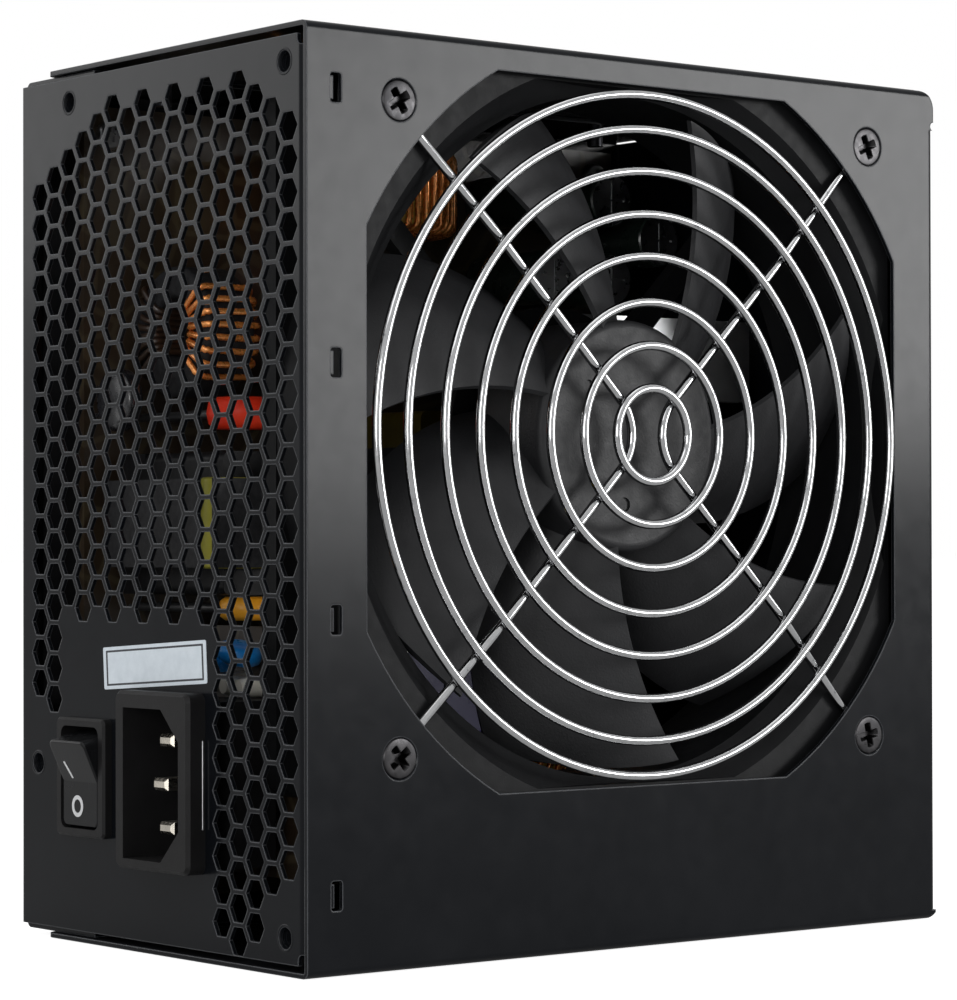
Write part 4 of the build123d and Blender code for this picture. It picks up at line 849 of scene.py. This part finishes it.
def standing_light(name, bearing, distance, low, high, width, radiance, lean=0):
    """Upright softbox at a bearing from straight ahead of the fan face, between two heights."""
    tall = high - low
    x, y = distance * sin(radians(bearing)), -distance * cos(radians(bearing))
    place = (x, y, (low + high) / 2)
    lamp = area_light(name, place, (0.0, 0.0, place[2]), width, tall, radiance * pi * width * tall)
    lamp.rotation_euler.rotate_axis("Z", radians(lean))
    return lamp


standing_light(
    "key_softbox", bearing=41, distance=2.0, low=0.115, high=0.58, width=0.8, radiance=18.0, lean=8
)
standing_light("fill_softbox", bearing=-51, distance=2.0, low=0.02, high=0.72, width=0.5, radiance=9.0)
standing_light("rim_softbox", bearing=218, distance=2.0, low=0.26, high=1.00, width=0.9, radiance=2.2)
area_light("top_softbox", (0.1, -0.1, 1.7), (0.0, 0.0, 0.1), width=1.2, height=1.2, power=7.0)
area_light("side_softbox", (-1.05, -0.45, 1.15), (-0.05, 0.0, 0.06), width=0.8, height=0.8, power=4.0)

floor_size, floor_drop, floor_grey = 12, 0.0002, 0.66
floor_glow, floor_glow_mirrored = 0.90, 0.30  # the second as a share of the first
floor_mesh = bpy.data.meshes.new("floor")
work = bmesh.new()
bmesh.ops.create_grid(work, x_segments=1, y_segments=1, size=floor_size)
work.to_mesh(floor_mesh)
work.free()
floor = bpy.data.objects.new("floor", floor_mesh)
scene.collection.objects.link(floor)
floor.location.z = -floor_drop
floor_material = new_material(
    "floor", Base_Color=(floor_grey,) * 3, Roughness=0.9, Specular_IOR_Level=0.0, Emission_Color=(1, 1, 1)
)
floor_tree = floor_material.node_tree
ray = floor_tree.nodes.new("ShaderNodeLightPath").outputs
mirrored = math_node(floor_tree, "MULTIPLY", ray["Is Glossy Ray"], floor_glow_mirrored)
seen = math_node(floor_tree, "MAXIMUM", ray["Is Camera Ray"], mirrored)
glow = math_node(floor_tree, "MULTIPLY", seen, floor_glow)
link(floor_material, glow, shader_of(floor_material).inputs["Emission Strength"])
floor_mesh.materials.append(floor_material)

scene.view_settings.view_transform = "Standard"
